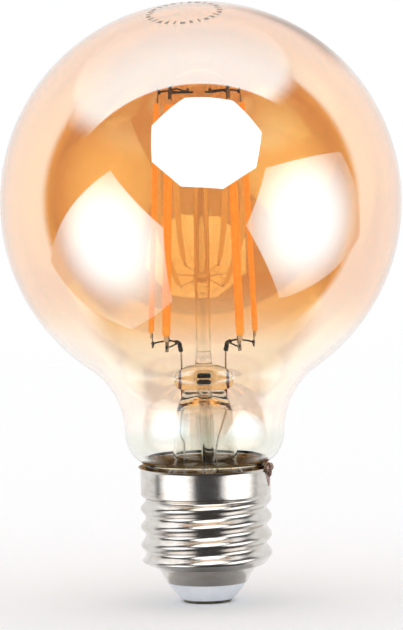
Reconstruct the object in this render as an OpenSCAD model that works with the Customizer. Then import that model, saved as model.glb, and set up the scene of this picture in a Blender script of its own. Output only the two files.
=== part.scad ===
// Filament lamp with a radio driver: a gold-tinted round globe on a rolled Edison screw cap.
// Six LED filaments stand in two groups of three round a glass post, and the driver board,
// its parts and the radio module fill the cap. The origin is the middle of the end contact's
// flat face, +Z runs up the lamp's axis to the crown, and sizes are in millimetres.

/* [Globe] */
// Outside diameter of the round globe
globe_d = 80; // [74:1:100]
// Thickness of the blown glass
glass_wall = 0.9; // [0.7:0.1:1.1]
// Outside diameter of the neck
neck_d = 31.8; // [30:0.2:36]
// Length of the straight part of the neck
neck_len = 0.2; // [0.2:0.1:12]
// Radius of the hollow curve that joins the neck to the globe
throat_r = 16; // [12:0.5:20]
// Radius of the shoulder where the neck turns in to the cap
shoulder_r = 6.6; // [5.6:0.1:7.6]

/* [Screw cap] */
// Height of the metal shell above the white insulator
shell_h = 23.2; // [20:0.1:29]
// Thickness of the rolled brass sheet
shell_wall = 0.35; // [0.3:0.05:0.45]
// Outside diameter of the smooth collar under the rim
collar_d = 26; // [25.8:0.05:26.1]
// Height of the collar, from the thread to the rim
collar_h = 5.35; // [4.8:0.05:7]
// How far the rim flares out past the collar
rim_flare = 0.4; // [0.2:0.05:0.6]
// Diameter over the thread's crests
thread_d = 26.2; // [26.05:0.05:26.4]
// Diameter at the thread's roots
thread_root_d = 24.2; // [24:0.05:24.4]
// Distance between one crest and the next
thread_pitch = 3.629; // [3.5:0.001:3.7]
// Diameter of the cone's wide end, under the thread
cone_d = 19.8; // [18.6:0.1:20.4]
// Height of the cone
cone_h = 3.2; // [2.8:0.1:3.8]
// Diameter of the cone's narrow end, which holds the insulator
cone_tip_d = 16; // [15.4:0.1:16.6]

/* [Insulator and end contact] */
// Height of the insulator below the shell
insulator_h = 3.4; // [3:0.1:4.4]
// Diameter of the insulator's lower end
insulator_tip_d = 10.6; // [10.2:0.1:12]
// How far the contact stands proud of the insulator
contact_proud = 0.6; // [0.4:0.1:0.9]
// Diameter of the end contact
contact_d = 9.6; // [8.8:0.1:9.8]
// Diameter of the contact's hollow rivet
rivet_d = 2.4; // [2:0.1:3]
// Diameter of the solder that fills the contact's dimple
tip_solder_d = 3; // [2.6:0.1:4]

/* [Glass stem] */
// Height of the press, from the cap's rim to the middle of the pinched glass
press_up = 17.2; // [15:0.1:22]
// Width of the pinched glass
press_w = 12; // [11.6:0.1:13]
// Thickness of the pinched glass
press_t = 4.2; // [3.6:0.1:4.8]
// Outside diameter of the stem tube where it starts to flare
stem_low_d = 13; // [12.4:0.1:14.4]
// Thickness of the stem's glass
stem_wall = 0.9; // [0.7:0.1:1]
// Diameter of the glass post that holds the top wires
post_d = 3; // [2.4:0.1:3.4]
// Diameter of the bead on top of the post
bead_d = 5.2; // [4.6:0.1:6]
// Outside diameter of the sealed exhaust tube
exhaust_d = 2.8; // [2.4:0.1:3.2]
// Diameter of the hole in the exhaust tube
exhaust_bore = 1.6; // [1.2:0.1:1.8]

/* [Filaments] */
// Length of a filament, over its metal tabs
filament_len = 52; // [44:0.5:54]
// Width of a filament
filament_w = 1.8; // [1.6:0.1:2.2]
// Thickness of a filament
filament_t = 1.1; // [1:0.1:1.4]
// Length of each metal tab outside the phosphor
tab_len = 3; // [2.4:0.1:4]
// Diameter of the circle that the filaments' feet stand on
cage_foot_d = 21; // [19:0.5:23]
// Diameter of the circle that the filaments' tops lie on
cage_top_d = 16.8; // [15:0.2:20]
// Angle between one filament of a group and the next
group_step = 45; // [40:1:52]
// Height of the filaments' feet above the middle of the press
foot_up = 6.6; // [5.6:0.1:9]

/* [Wires] */
// Distance between the two lead wires in the press
lead_gap = 8.8; // [8.4:0.1:9.2]
// Diameter of the copper-clad wires sealed in the press
seal_wire_d = 0.8; // [0.5:0.1:0.9]
// Diameter of the nickel wires inside the globe
lead_d = 0.7; // [0.5:0.1:0.9]
// Diameter of the thin wires that reach the filaments
arm_d = 0.4; // [0.3:0.05:0.5]
// Diameter of the wires that run down to the driver
outer_wire_d = 0.4; // [0.3:0.05:0.6]

/* [Driver] */
// Thickness of the round circuit board
board_t = 1; // [0.8:0.1:1.6]
// Height of the circuit board's lower face above the shell's lower edge
board_up = 9; // [8.6:0.1:9.6]
// Diameter of the smoothing capacitor
capacitor_d = 6.3; // [5:0.1:6.6]
// Length of the smoothing capacitor
capacitor_len = 6.8; // [5:0.1:7]
// Diameter of the choke's core
choke_d = 5.6; // [4.6:0.1:6]
// Height of the choke
choke_h = 4.6; // [3.6:0.1:5]
// Width of the radio module
radio_w = 12; // [10:0.5:13]
// Height of the radio module above the circuit board
radio_h = 7.2; // [6:0.1:7.4]

/* [Clearances] */
// Gap for the cement between the shell and the glass
cement_gap = 0.65; // [0.5:0.05:0.9]
// Gap between the driver's sleeve and the shell
sleeve_gap = 0.25; // [0.15:0.05:0.4]
// Gap between the circuit board and its sleeve
board_gap = 0.3; // [0.2:0.05:0.6]
// Gap round the insulator's plug and the rivet
plug_gap = 0.05; // [0.03:0.01:0.1]
// Gap between the sealed wires and the stem tube's inside
stem_gap = 0.4; // [0.2:0.1:0.6]
// Gap round a wire in its hole in glass
wire_gap = 0.02; // [0.01:0.01:0.05]

/* [Hidden] */
$fn = 48;

// Cap
shell_z = contact_proud + insulator_h;            // lower edge of the metal shell
rim_z = shell_z + shell_h;                        // top edge of the metal shell
collar_r = collar_d / 2;
collar_z = rim_z - collar_h;                      // where the thread meets the collar
rim_lip_h = 0.6;                                  // height of the flared lip
cone_z = shell_z + cone_h;                        // where the thread meets the cone
crest_r = thread_d / 2;
root_r = thread_root_d / 2;
seam = 0.06;                // how far the rolled part's ends sit inside the walls they join
seam_h = 0.3;               // how far they reach into those walls
fade_h = 1.1;               // height over which the thread dies away at each end
crest_front_up = 1.7;       // height of the lowest full crest above the cone, at the front
thread_columns = 48;
thread_rows = 30;

// Glass envelope
globe_r = globe_d / 2;
neck_r = neck_d / 2;
skirt_r = collar_r - shell_wall - cement_gap;     // the part of the neck inside the cap
skirt_depth = 3.2;                                // how far it reaches below the rim
skirt_z = rim_z - skirt_depth;
shoulder_x = neck_r - shoulder_r;
shoulder_turn = acos((skirt_r - shoulder_x) / shoulder_r);
shoulder_up = 0.6;                                // where the shoulder starts, above the rim
shoulder_z = rim_z + shoulder_up + shoulder_r * sin(shoulder_turn);
throat_x = neck_r + throat_r;
throat_z = shoulder_z + neck_len;
globe_z = throat_z + sqrt(pow(globe_r + throat_r, 2) - pow(throat_x, 2));
throat_turn = atan2(globe_z - throat_z, throat_x);

// Stem
press_z = rim_z + press_up;
press_r = press_t / 2;
press_half = press_w / 2 - press_r;               // from the axis to the press's round ends
stem_top_r = (lead_gap + seal_wire_d) / 2 + stem_gap + stem_wall;
flare_rim_r = skirt_r - glass_wall;
flare_r = flare_rim_r - stem_low_d / 2;           // radius of the trumpet's curve
stem_flat_z = press_z - 4.2;                      // where the tube starts to flatten
post_z = press_z + 1.8;                           // foot of the post, in the glass mound
exhaust_lean = 2.4;
exhaust_hole = [3, 1.7];                          // width and height of the blown hole

// Filament cage
foot_z = press_z + foot_up;
cage_lean = asin((cage_foot_d - cage_top_d) / 2 / filament_len);
cage_angles = [for (side = [180, 0]) for (k = [-1:1]) side + k * group_step];
strip_len = filament_len - 2 * tab_len;
carrier_w = 0.9;
carrier_t = 0.4;
carrier_grip = 1;                                 // how far a carrier reaches over its tab
tab_w = 0.8;
tab_t = 0.2;
tab_face = carrier_t / 2 + tab_t;                 // from a filament's middle to its tab's face
weld_up = 0.9;                                    // height of the spot weld on a tab
top_wire_z = foot_z + (filament_len - weld_up) * cos(cage_lean);
bead_z = top_wire_z;                              // middle of the bead
bead_h = 3.6;
post_top_z = bead_z - bead_h / 2 + 0.4;           // the post's end, let into the bead
wire_embed = 1.2;                                 // length of a top wire inside the bead

// Leads
lead_x = lead_gap / 2;
seal_top_z = press_z + press_r + 0.4;
seal_low_z = press_z - 4.9;
lead_top_z = foot_z + weld_up;
wire_sides = 8;

// Driver
board_z = shell_z + board_up;
board_top_z = board_z + board_t;
bore_r = root_r - shell_wall;                     // inside of the thread's roots
sleeve_r = bore_r - sleeve_gap;
sleeve_wall = 0.4;
sleeve_low_z = cone_z + 1.4;
neutral_d = 0.4;
neutral_turn_z = skirt_z - stem_wall - 0.5;       // the wire's level under the flare
sleeve_top_z = neutral_turn_z - 1;
board_r = sleeve_r - sleeve_wall - board_gap;
part_gap = 0.05;                                  // solder film under a board's parts
plug_h = 1.6;                                     // insulator's plug inside the shell
live_wire_d = 0.6;
resistor_d = 2.6;
resistor_len = 4.6;
resistor_z = board_z - 0.8 - resistor_len;
part_space = 0.6;                                 // least room between a part and what is beside it
capacitor_low_z = board_z - part_gap - capacitor_len;
capacitor_x = capacitor_d / 2 + part_space - cone_inside(capacitor_low_z);
choke_x = resistor_d / 2 + choke_d / 2 + 1.1;
rectifier_y = 4.2 - board_r;
chip_y = 5 - board_r;
chip_ring_r = board_r - 3.2;                      // circle that the chip parts sit on
radio_y = board_r - 4.4;
radio_t = 0.8;
solder_turn = -14;                                // where the neutral wire leaves the rim
left_pad = (board_r - 3.6) * [cos(207), sin(207)];
right_pad = (board_r - 3.6) * [cos(-46), sin(-46)];
neutral_pad_r = board_r - 1.6;

function unit(v) = v / norm(v);
function cone_inside(z) = cone_tip_d / 2 + (cone_d - cone_tip_d) / 2 * (z - shell_z) / cone_h - shell_wall;
function arc(c, r, a, b, n) =
  [for (i = [0:n]) let (t = a + (b - a) * i / n) c + r * [cos(t), sin(t)]];
function backwards(p) = [for (i = [len(p) - 1:-1:0]) p[i]];
function mix(a, b, t) = a + (b - a) * t;
function smooth(t) = let (u = min(1, max(0, t))) u * u * (3 - 2 * u);

// Half outline of the envelope from the crown to the skirt, moved in by an inset
function envelope(inset) = concat(
  arc([0, globe_z], globe_r - inset, 90, -throat_turn, 44),
  arc([throat_x, throat_z], throat_r + inset, 180 - throat_turn, 180, 8),
  arc([shoulder_x, shoulder_z], shoulder_r - inset, 0, -shoulder_turn, 8),
  [[skirt_r - inset, rim_z - 0.4], [skirt_r - inset, skirt_z]]
);

// Half outline of the stem's outside or inside, from the flare's rim to the flattened top
function trumpet(inset) = concat(
  [[skirt_r, skirt_z - inset]],
  arc([flare_rim_r, skirt_z + flare_r], flare_r + inset, 270, 180, 8),
  [[stem_top_r - inset, stem_flat_z]]
);

// Points of a bent wire: straight runs with each corner rounded
function rounded(p, r, n = 3) = concat(
  [p[0]],
  [for (i = [1:len(p) - 2])
    let (a = p[i] + r * unit(p[i - 1] - p[i]), b = p[i] + r * unit(p[i + 1] - p[i]))
    for (k = [0:n]) let (t = k / n)
      pow(1 - t, 2) * a + 2 * t * (1 - t) * p[i] + t * t * b],
  [p[len(p) - 1]]
);
function heading(p, i) = unit(
  (i < len(p) - 1 ? unit(p[i + 1] - p[i]) : [0, 0, 0]) + (i > 0 ? unit(p[i] - p[i - 1]) : [0, 0, 0])
);

// A round wire along points; its side vector stays square to the reference direction
module wire(p, d, reference = [0, 1, 0]) {
  rings = len(p);
  points = [for (i = [0:rings - 1])
    let (t = heading(p, i), u = unit(cross(reference, t)), v = cross(t, u))
    for (k = [0:wire_sides - 1]) let (a = 360 * k / wire_sides)
      p[i] + d / 2 * (cos(a) * u + sin(a) * v)];
  walls = [for (i = [0:rings - 2]) for (k = [0:wire_sides - 1])
    let (j = (k + 1) % wire_sides, a = i * wire_sides, b = a + wire_sides)
    [a + j, a + k, b + k, b + j]];
  polyhedron(points, concat(
    [[for (k = [0:wire_sides - 1]) k]], walls,
    [[for (k = [wire_sides - 1:-1:0]) (rings - 1) * wire_sides + k]]
  ), convexity = 6);
}

module tube(r_out, r_in, h) {
  difference() {
    cylinder(r = r_out, h = h);
    translate([0, 0, -1]) cylinder(r = r_in, h = h + 2);
  }
}

module box(size) {
  translate([-size[0] / 2, -size[1] / 2, 0]) cube(size);
}

// Puts its children at the foot of a filament: +Z along it, +X away from the lamp's axis
module at_filament(angle) {
  rotate([0, 0, angle]) translate([cage_foot_d / 2, 0, foot_z]) rotate([0, -cage_lean, 0])
    children();
}

module stadium(w, t) {
  square([t, w - t], center = true);
  for (s = [-1, 1]) translate([0, s * (w - t) / 2]) circle(d = t, $fn = 32);
}

module glass_globe() {
  color([0.88, 0.62, 0.32, 0.35]) rotate_extrude($fn = 120)
    polygon(concat(envelope(0), backwards(envelope(glass_wall))));
}

// Oval slab of the press's outline, used to flatten the tube into the press
module press_slice(inset) {
  translate([0, 0, press_z - 1.2]) linear_extrude(0.4) union() {
    square([2 * press_half, 2 * (press_r - inset)], center = true);
    for (s = [-1, 1]) translate([s * press_half, 0]) circle(press_r - inset, $fn = 32);
  }
}

module flattening(inset, seat) {
  hull() {
    translate([0, 0, stem_flat_z - seat]) cylinder(r = stem_top_r - inset, h = 0.1, $fn = 32);
    press_slice(min(inset, press_r - 0.7));
  }
}

// Pinched glass: a bar with round ends, turned about its own long axis
module press() {
  translate([0, 0, press_z]) rotate([0, 90, 0]) rotate_extrude() intersection() {
    union() {
      square([2 * press_r, 2 * press_half], center = true);
      for (s = [-1, 1]) translate([0, s * press_half]) circle(press_r);
    }
    translate([0, -press_w]) square([press_w, 2 * press_w]);
  }
}

module lead_holes(d) {
  for (s = [-1, 1]) translate([s * lead_x, 0, seal_low_z - 1]) cylinder(d = d, h = 12, $fn = 24);
}

// The exhaust tube leans slightly, and turns about the middle of the press
module exhaust_axis() {
  translate([0, 0, press_z]) rotate([0, 180 - exhaust_lean, 0]) children();
}

module stem_flare() {
  color([0.93, 0.9, 0.84, 0.5]) difference() {
    union() {
      rotate_extrude($fn = 96) polygon(concat(trumpet(0), backwards(trumpet(stem_wall))));
      difference() {
        flattening(seam, 0.3);
        flattening(stem_wall - seam, 0.4);
      }
      press();
      translate([0, 0, press_z + 1.4]) cylinder(r1 = post_d / 2 + 1.9, r2 = post_d / 2 + 0.3, h = 3.2);
    }
    lead_holes(seal_wire_d);
    translate([0, 0, post_z]) cylinder(d = post_d, h = 8);
    exhaust_axis() translate([0, 0, press_r * 0.5]) cylinder(d = exhaust_d, h = press_t);
    exhaust_axis() cylinder(d = exhaust_bore, h = press_t);
    translate([0, 0, press_z]) rotate([90, 0, 0]) linear_extrude(press_t) union() {
      square([exhaust_hole[0] - exhaust_hole[1], exhaust_hole[1]], center = true);
      for (s = [-1, 1]) translate([s * (exhaust_hole[0] - exhaust_hole[1]) / 2, 0])
        circle(d = exhaust_hole[1]);
    }
  }
}

module exhaust_tube() {
  length = press_z - board_top_z - 4;
  start = press_r * 0.5;
  color([0.93, 0.92, 0.88, 0.5]) exhaust_axis() translate([0, 0, start]) rotate_extrude()
    polygon([
      [exhaust_bore / 2, 0], [exhaust_d / 2, 0], [exhaust_d / 2, length - 3],
      [0.5, length], [0, length], [0, length - 1], [exhaust_bore / 2, length - 3.2]
    ]);
}

module stem_post() {
  color([0.93, 0.92, 0.88, 0.5]) translate([0, 0, post_z])
    cylinder(d = post_d, h = post_top_z - post_z);
}

module post_bead() {
  color([0.93, 0.9, 0.84, 0.5]) difference() {
    translate([0, 0, bead_z]) rotate_extrude() polygon(concat(
      [[0, -bead_h / 2], [post_d / 2 + 0.4, -bead_h / 2]],
      arc([bead_d / 2 - 1.2, 0], 1.2, -60, 60, 8),
      [[post_d / 2 + 0.2, bead_h / 2 - 0.1], [0, bead_h / 2]]
    ));
    translate([0, 0, bead_z - bead_h]) cylinder(d = post_d, h = post_top_z - bead_z + bead_h);
    for (a = cage_angles) rotate([0, 0, a]) translate([bead_d / 2 - wire_embed, 0, bead_z])
      rotate([0, 90, 0]) cylinder(d = arm_d + 2 * wire_gap, h = wire_embed + 1, $fn = 16);
  }
}

// One wire from the bead to each filament's upper tab
module top_wires() {
  weld_r = cage_foot_d / 2 - (filament_len - weld_up) * sin(cage_lean) - tab_face;
  rise = tab_face * sin(cage_lean);
  color("dimgray") for (a = cage_angles) rotate([0, 0, a])
    wire(rounded([
      [bead_d / 2 - wire_embed + wire_gap, 0, bead_z], [bead_d / 2 + 1.2, 0, bead_z],
      [weld_r - 1, 0, top_wire_z + rise], [weld_r - wire_gap, 0, top_wire_z + rise]
    ], 0.4), arm_d);
}

// The wires of one side: a stout lead from the press, and three arms to the filaments' feet
module lead(side) {
  elbow = [side * (lead_x + 0.3), 0, lead_top_z];
  color("dimgray") {
    wire(rounded([
      [side * lead_x, 0, seal_top_z], [side * lead_x, 0, seal_top_z + 1],
      [elbow[0], 0, lead_top_z - 2], elbow - [0, 0, arm_d / 2]
    ], 0.4), lead_d);
    for (k = [-1:1]) {
      angle = (side > 0 ? 0 : 180) + k * group_step;
      slant = abs(k) * arm_d / 4;      // the outer arms meet their tabs at a slant
      weld_r = cage_foot_d / 2 - weld_up * sin(cage_lean) - tab_face / cos(cage_lean) - slant;
      wire([elbow, weld_r * [cos(angle), sin(angle), 0] + [0, 0, lead_top_z]], arm_d, [0, 0, 1]);
    }
    translate(elbow - [0, 0, arm_d / 2]) cylinder(d = lead_d, h = arm_d, $fn = 16);
  }
}
module lead_left() { lead(-1); }
module lead_right() { lead(1); }

module seal_wires() {
  color("rosybrown") for (s = [-1, 1]) translate([s * lead_x, 0, seal_low_z])
    cylinder(d = seal_wire_d, h = seal_top_z - seal_low_z, $fn = 24);
}

module outer_wire_left() {
  color("silver") wire(rounded([
    [-lead_x, 0, seal_low_z], [-lead_x, 0, seal_low_z - 1], [-lead_x - 0.5, 0, rim_z + 6.6],
    [-lead_x, 0, rim_z + 4.6], [-lead_x, -0.4, skirt_z], [left_pad[0], left_pad[1], board_top_z + 3],
    [left_pad[0], left_pad[1], board_top_z + part_gap]
  ], 0.5), outer_wire_d);
}

module outer_wire_right() {
  color("silver") wire(rounded([
    [lead_x, 0, seal_low_z], [lead_x, 0, seal_low_z - 0.8], [2.6, -2.2, rim_z + 6],
    [1.6, -2.4, rim_z], [2.2, -2.8, skirt_z], [right_pad[0], right_pad[1], board_top_z + 3],
    [right_pad[0], right_pad[1], board_top_z + part_gap]
  ], 0.5), outer_wire_d);
}

// Phosphor and silicone moulded round the carrier
module filament(i) {
  color("darkorange") at_filament(cage_angles[i]) translate([0, 0, tab_len]) difference() {
    linear_extrude(strip_len) stadium(filament_w, filament_t);
    translate([-carrier_t / 2, -carrier_w / 2, -1]) cube([carrier_t, carrier_w, strip_len + 2]);
  }
}
module filament_1() { filament(0); }
module filament_2() { filament(1); }
module filament_3() { filament(2); }
module filament_4() { filament(3); }
module filament_5() { filament(4); }
module filament_6() { filament(5); }

module filament_carriers() {
  color("gainsboro") for (a = cage_angles) at_filament(a)
    translate([-carrier_t / 2, -carrier_w / 2, tab_len - carrier_grip])
      cube([carrier_t, carrier_w, strip_len + 2 * carrier_grip]);
}

module filament_tabs() {
  color("silver") for (a = cage_angles) at_filament(a) for (z = [0, filament_len - tab_len])
    translate([-tab_face, -tab_w / 2, z]) cube([tab_t, tab_w, tab_len]);
}

// Radius of the rolled sheet at a height and an angle, before the thread is cut into it
function rolled_r(z) =
  z > collar_z - fade_h ? mix(root_r, collar_r, smooth((z - collar_z + fade_h) / fade_h))
  : z < cone_z + fade_h ? mix(cone_d / 2, root_r, sqrt(1 - pow(1 - (z - cone_z) / fade_h, 2)))
  : root_r;
function thread_amount(z) =
  smooth((z - cone_z - 0.3) / fade_h) * smooth((collar_z - z) / fade_h);
function thread_r(z, a) =
  let (turn = 360 * (z - cone_z - crest_front_up) / thread_pitch - (a - 270))
  rolled_r(z) + thread_amount(z) * (crest_r - root_r) * (0.5 + 0.5 * cos(turn));

module rolled_thread() {
  n = thread_columns;
  heights = concat(
    [cone_z - seam_h],
    [for (i = [0:thread_rows]) cone_z + (collar_z - cone_z) * i / thread_rows],
    [collar_z + seam_h]
  );
  m = len(heights);
  // The sheet's two skins; near the cone the inner one also moves up, to keep the wall
  outer = [for (z = heights) for (k = [0:n - 1]) let (
      a = 360 * k / n,
      r = z <= cone_z ? cone_d / 2 - (z < cone_z ? 0.25 : 0) - seam
        : z >= collar_z ? collar_r - seam : thread_r(z, a))
    [r * cos(a), r * sin(a), z]];
  inner = [for (z = heights) for (k = [0:n - 1]) let (
      a = 360 * k / n,
      lift = shell_wall * 0.8 * smooth((cone_z + fade_h - z) / fade_h) * (z > cone_z ? 1 : 0),
      r = z <= cone_z ? cone_d / 2 - (z < cone_z ? 0.25 : 0) - shell_wall + seam
        : z >= collar_z ? collar_r - shell_wall + seam : thread_r(z, a) - shell_wall)
    [r * cos(a), r * sin(a), z + lift]];
  side = [for (i = [0:m - 2]) for (k = [0:n - 1])
    let (j = (k + 1) % n, p = i * n, q = p + n) each [[p + k, q + k, q + j], [p + k, q + j, p + j]]];
  flip = [for (f = side) [for (v = backwards(f)) v + m * n]];
  ends = [for (k = [0:n - 1]) let (j = (k + 1) % n, p = (m - 1) * n, s = m * n) each [
    [k, j, s + j], [k, s + j, s + k], [p + j, p + k, p + s + k], [p + j, p + s + k, p + s + j]]];
  polyhedron(concat(outer, inner), concat(side, flip, ends), convexity = 12);
}

module screw_shell() {
  color([0.78, 0.78, 0.8]) union() {
    rotate_extrude($fn = 96) polygon([
      [collar_r, collar_z], [collar_r, rim_z - rim_lip_h], [collar_r + rim_flare, rim_z],
      [collar_r + rim_flare - shell_wall, rim_z],
      [collar_r - shell_wall, rim_z - rim_lip_h], [collar_r - shell_wall, collar_z]
    ]);
    rolled_thread();
    rotate_extrude($fn = 96) polygon([
      [cone_tip_d / 2, shell_z], [cone_d / 2, cone_z],
      [cone_d / 2 - shell_wall, cone_z], [cone_tip_d / 2 - shell_wall, shell_z]
    ]);
  }
}

// Where the neutral wire runs up through the cement and over the rim
module neutral_place() {
  rotate([0, 0, solder_turn]) children();
}

module basing_cement() {
  color("tan") difference() {
    translate([0, 0, skirt_z]) tube(collar_r - shell_wall, skirt_r, skirt_depth - rim_lip_h);
    neutral_place() translate([skirt_r, -neutral_d, skirt_z - 1]) cube([2, 2 * neutral_d, 9]);
  }
}

module insulator() {
  plug_r = cone_tip_d / 2 - shell_wall - plug_gap;
  hole_r = rivet_d / 2 + plug_gap;
  seat_z = contact_proud + 0.3;
  floor_z = seat_z + 2;
  color("white") rotate_extrude() polygon([
    [hole_r, seat_z], [contact_d / 2 + plug_gap, seat_z], [contact_d / 2 + plug_gap, contact_proud],
    [insulator_tip_d / 2, contact_proud], [cone_tip_d / 2, shell_z], [plug_r, shell_z],
    [plug_r, shell_z + plug_h], [plug_r - 1.3, shell_z + plug_h], [4.2, floor_z], [hole_r, floor_z]
  ]);
}

module centre_contact() {
  seat_z = contact_proud + 0.3;
  floor_z = seat_z + 2;
  dimple = 0.5;
  color("goldenrod") rotate_extrude() polygon([
    [live_wire_d / 2 + 0.2, dimple], [tip_solder_d / 2, dimple], [tip_solder_d / 2, 0],
    [contact_d / 2 - 0.2, 0], [contact_d / 2, 0.2], [contact_d / 2, seat_z],
    [rivet_d / 2, seat_z], [rivet_d / 2, floor_z], [rivet_d / 2 + 0.6, floor_z],
    [rivet_d / 2 + 0.6, floor_z + 0.3], [live_wire_d / 2 + 0.2, floor_z + 0.3]
  ]);
}

module tip_solder() {
  color("gray") rotate_extrude() polygon([
    [0, 0.05], [tip_solder_d / 2, 0.05], [tip_solder_d / 2, 0.5], [live_wire_d / 2 + 0.2, 0.5],
    [live_wire_d / 2 + 0.2, 1.2], [live_wire_d / 2, 1.2], [live_wire_d / 2, 0.2], [0, 0.2]
  ]);
}

// Solder over the wire's end on the rim
module rim_solder() {
  color("rosybrown") neutral_place() difference() {
    union() {
      translate([collar_r + 0.5, 0, rim_z + 0.15]) sphere(r = 0.7, $fn = 24);
      translate([collar_r + 0.3, 0.9, rim_z + 0.1]) sphere(r = 0.5, $fn = 24);
    }
    rotate_extrude($fn = 96) polygon([
      [0, shell_z], [collar_r, shell_z], [collar_r, rim_z - rim_lip_h], [collar_r + rim_flare, rim_z],
      [collar_r + rim_flare - shell_wall, rim_z], [0, rim_z]
    ]);
    translate([collar_r - 1, -neutral_d / 2 - wire_gap, rim_z - 1])
      cube([1.4, neutral_d + 2 * wire_gap, neutral_d + wire_gap + 1]);
  }
}

module driver_sleeve() {
  color("ivory") translate([0, 0, sleeve_low_z])
    tube(sleeve_r, sleeve_r - sleeve_wall, sleeve_top_z - sleeve_low_z);
}

module driver_board() {
  color("seagreen") translate([0, 0, board_z]) difference() {
    cylinder(r = board_r, h = board_t);
    translate([0, 0, -1]) cylinder(d = live_wire_d + 0.2, h = board_t + 2, $fn = 24);
  }
}

module bridge_rectifier() {
  color([0.15, 0.15, 0.16]) translate([0, rectifier_y, board_z - part_gap - 2.4])
    box([4.7, 3.9, 2.4]);
}

module capacitor() {
  color("midnightblue") translate([capacitor_x, 0, capacitor_low_z])
    rotate_extrude() polygon([
      [0, 0], [capacitor_d / 2 - 0.4, 0], [capacitor_d / 2, 0.4],
      [capacitor_d / 2, capacitor_len - 1.6], [capacitor_d / 2 - 0.3, capacitor_len - 1.3],
      [capacitor_d / 2 - 0.3, capacitor_len - 1], [capacitor_d / 2, capacitor_len - 0.7],
      [capacitor_d / 2, capacitor_len], [0, capacitor_len]
    ]);
}

// Ferrite drum: two flanges on a core
module choke_core() {
  flange = 0.8;
  color([0.2, 0.2, 0.22]) translate([choke_x, 0, board_z - part_gap - choke_h]) union() {
    cylinder(d = choke_d, h = flange);
    cylinder(d = choke_d * 0.45, h = choke_h);
    translate([0, 0, choke_h - flange]) cylinder(d = choke_d, h = flange);
  }
}

module choke_winding() {
  flange = 0.8;
  color("peru") translate([choke_x, 0, board_z - part_gap - choke_h + flange])
    tube(choke_d / 2 - 0.3, choke_d * 0.225, choke_h - 2 * flange);
}

module driver_chip() {
  color([0.15, 0.15, 0.16]) translate([0, chip_y, board_top_z + part_gap])
    box([3.9, 4.9, 1.4]);
}

// Chip resistors and capacitors on the board's upper face
module chip_parts() {
  color("tan") for (middle = [168, 8]) for (i = [-1:1])
    rotate([0, 0, middle + 19 * i]) translate([chip_ring_r, 0, board_top_z + part_gap])
      box([1.2, 2, 0.6]);
}

module fusible_resistor() {
  color("steelblue") translate([0, 0, resistor_z]) rotate_extrude() polygon([
    [0, 0], [resistor_d / 2 - 0.3, 0], [resistor_d / 2, 0.3], [resistor_d / 2, 1.1],
    [resistor_d / 2 - 0.2, 1.3], [resistor_d / 2 - 0.2, resistor_len - 1.3],
    [resistor_d / 2, resistor_len - 1.1], [resistor_d / 2, resistor_len - 0.3],
    [resistor_d / 2 - 0.3, resistor_len], [0, resistor_len]
  ]);
}

// Upright board at the back, with its own shield can and a whip up into the stem
module radio_board() {
  color("darkgreen") translate([0, radio_y, board_top_z + part_gap]) box([radio_w, radio_t, radio_h]);
}

module radio_shield() {
  color("lightgray") translate([-1, radio_y - radio_t / 2 - part_gap - 0.8, board_top_z + 1])
    difference() {
      box([7.4, 1.6, 5.2]);
      translate([0, 0.4, 0.2]) box([7, 1.6, 4.8]);
    }
}

module antenna_wire() {
  top = board_top_z + part_gap + radio_h;
  color("silver") wire(rounded([
    [3.6, radio_y, top], [3.6, radio_y, top + 1], [2.6, 3.9, skirt_z + 0.6], [2.4, 3.7, rim_z - 0.4]
  ], 0.5), outer_wire_d);
}

module live_wire() {
  color("silver") translate([0, 0, 0.2])
    cylinder(d = live_wire_d, h = resistor_z - 0.2, $fn = 24);
  color("silver") translate([0, 0, resistor_z + resistor_len])
    cylinder(d = live_wire_d, h = board_top_z + 0.5 - resistor_z - resistor_len, $fn = 24);
}

module neutral_wire() {
  run_r = skirt_r + neutral_d / 2 + wire_gap;
  color("silver") neutral_place() wire(rounded([
    [neutral_pad_r, 0, board_top_z + part_gap], [neutral_pad_r, 0, neutral_turn_z],
    [run_r, 0, neutral_turn_z], [run_r, 0, rim_z + neutral_d / 2],
    [collar_r + rim_flare, 0, rim_z + neutral_d / 2]
  ], 0.3, 3), neutral_d);
}

glass_globe();
stem_flare();
exhaust_tube();
stem_post();
post_bead();
top_wires();
lead_left();
lead_right();
seal_wires();
outer_wire_left();
outer_wire_right();
filament_1();
filament_2();
filament_3();
filament_4();
filament_5();
filament_6();
filament_carriers();
filament_tabs();
screw_shell();
basing_cement();
insulator();
centre_contact();
tip_solder();
rim_solder();
driver_sleeve();
driver_board();
bridge_rectifier();
capacitor();
choke_core();
choke_winding();
driver_chip();
chip_parts();
fusible_resistor();
radio_board();
radio_shield();
antenna_wire();
live_wire();
neutral_wire();
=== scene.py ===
"""Filament globe lamp: its visible pieces, finishes, studio and camera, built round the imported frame."""

import logging
import math
from dataclasses import dataclass, field
from enum import Enum
from typing import Callable, Iterable, Sequence

import bmesh
import bpy
from mathutils import Matrix, Vector, noise


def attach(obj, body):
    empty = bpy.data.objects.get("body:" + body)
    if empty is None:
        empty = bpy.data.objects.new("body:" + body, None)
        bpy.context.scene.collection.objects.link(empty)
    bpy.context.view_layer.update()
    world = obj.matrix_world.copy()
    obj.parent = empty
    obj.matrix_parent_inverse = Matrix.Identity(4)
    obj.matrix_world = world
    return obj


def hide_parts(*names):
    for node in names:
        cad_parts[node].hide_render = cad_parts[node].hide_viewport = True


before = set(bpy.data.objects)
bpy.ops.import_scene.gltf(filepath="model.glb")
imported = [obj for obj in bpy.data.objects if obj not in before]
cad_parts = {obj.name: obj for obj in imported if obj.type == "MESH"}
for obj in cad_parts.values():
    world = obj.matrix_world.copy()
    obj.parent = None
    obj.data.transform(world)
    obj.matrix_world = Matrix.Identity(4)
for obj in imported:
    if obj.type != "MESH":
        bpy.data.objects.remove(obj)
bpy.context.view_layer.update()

MM = 0.001
EPSILON = 1e-6
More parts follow.
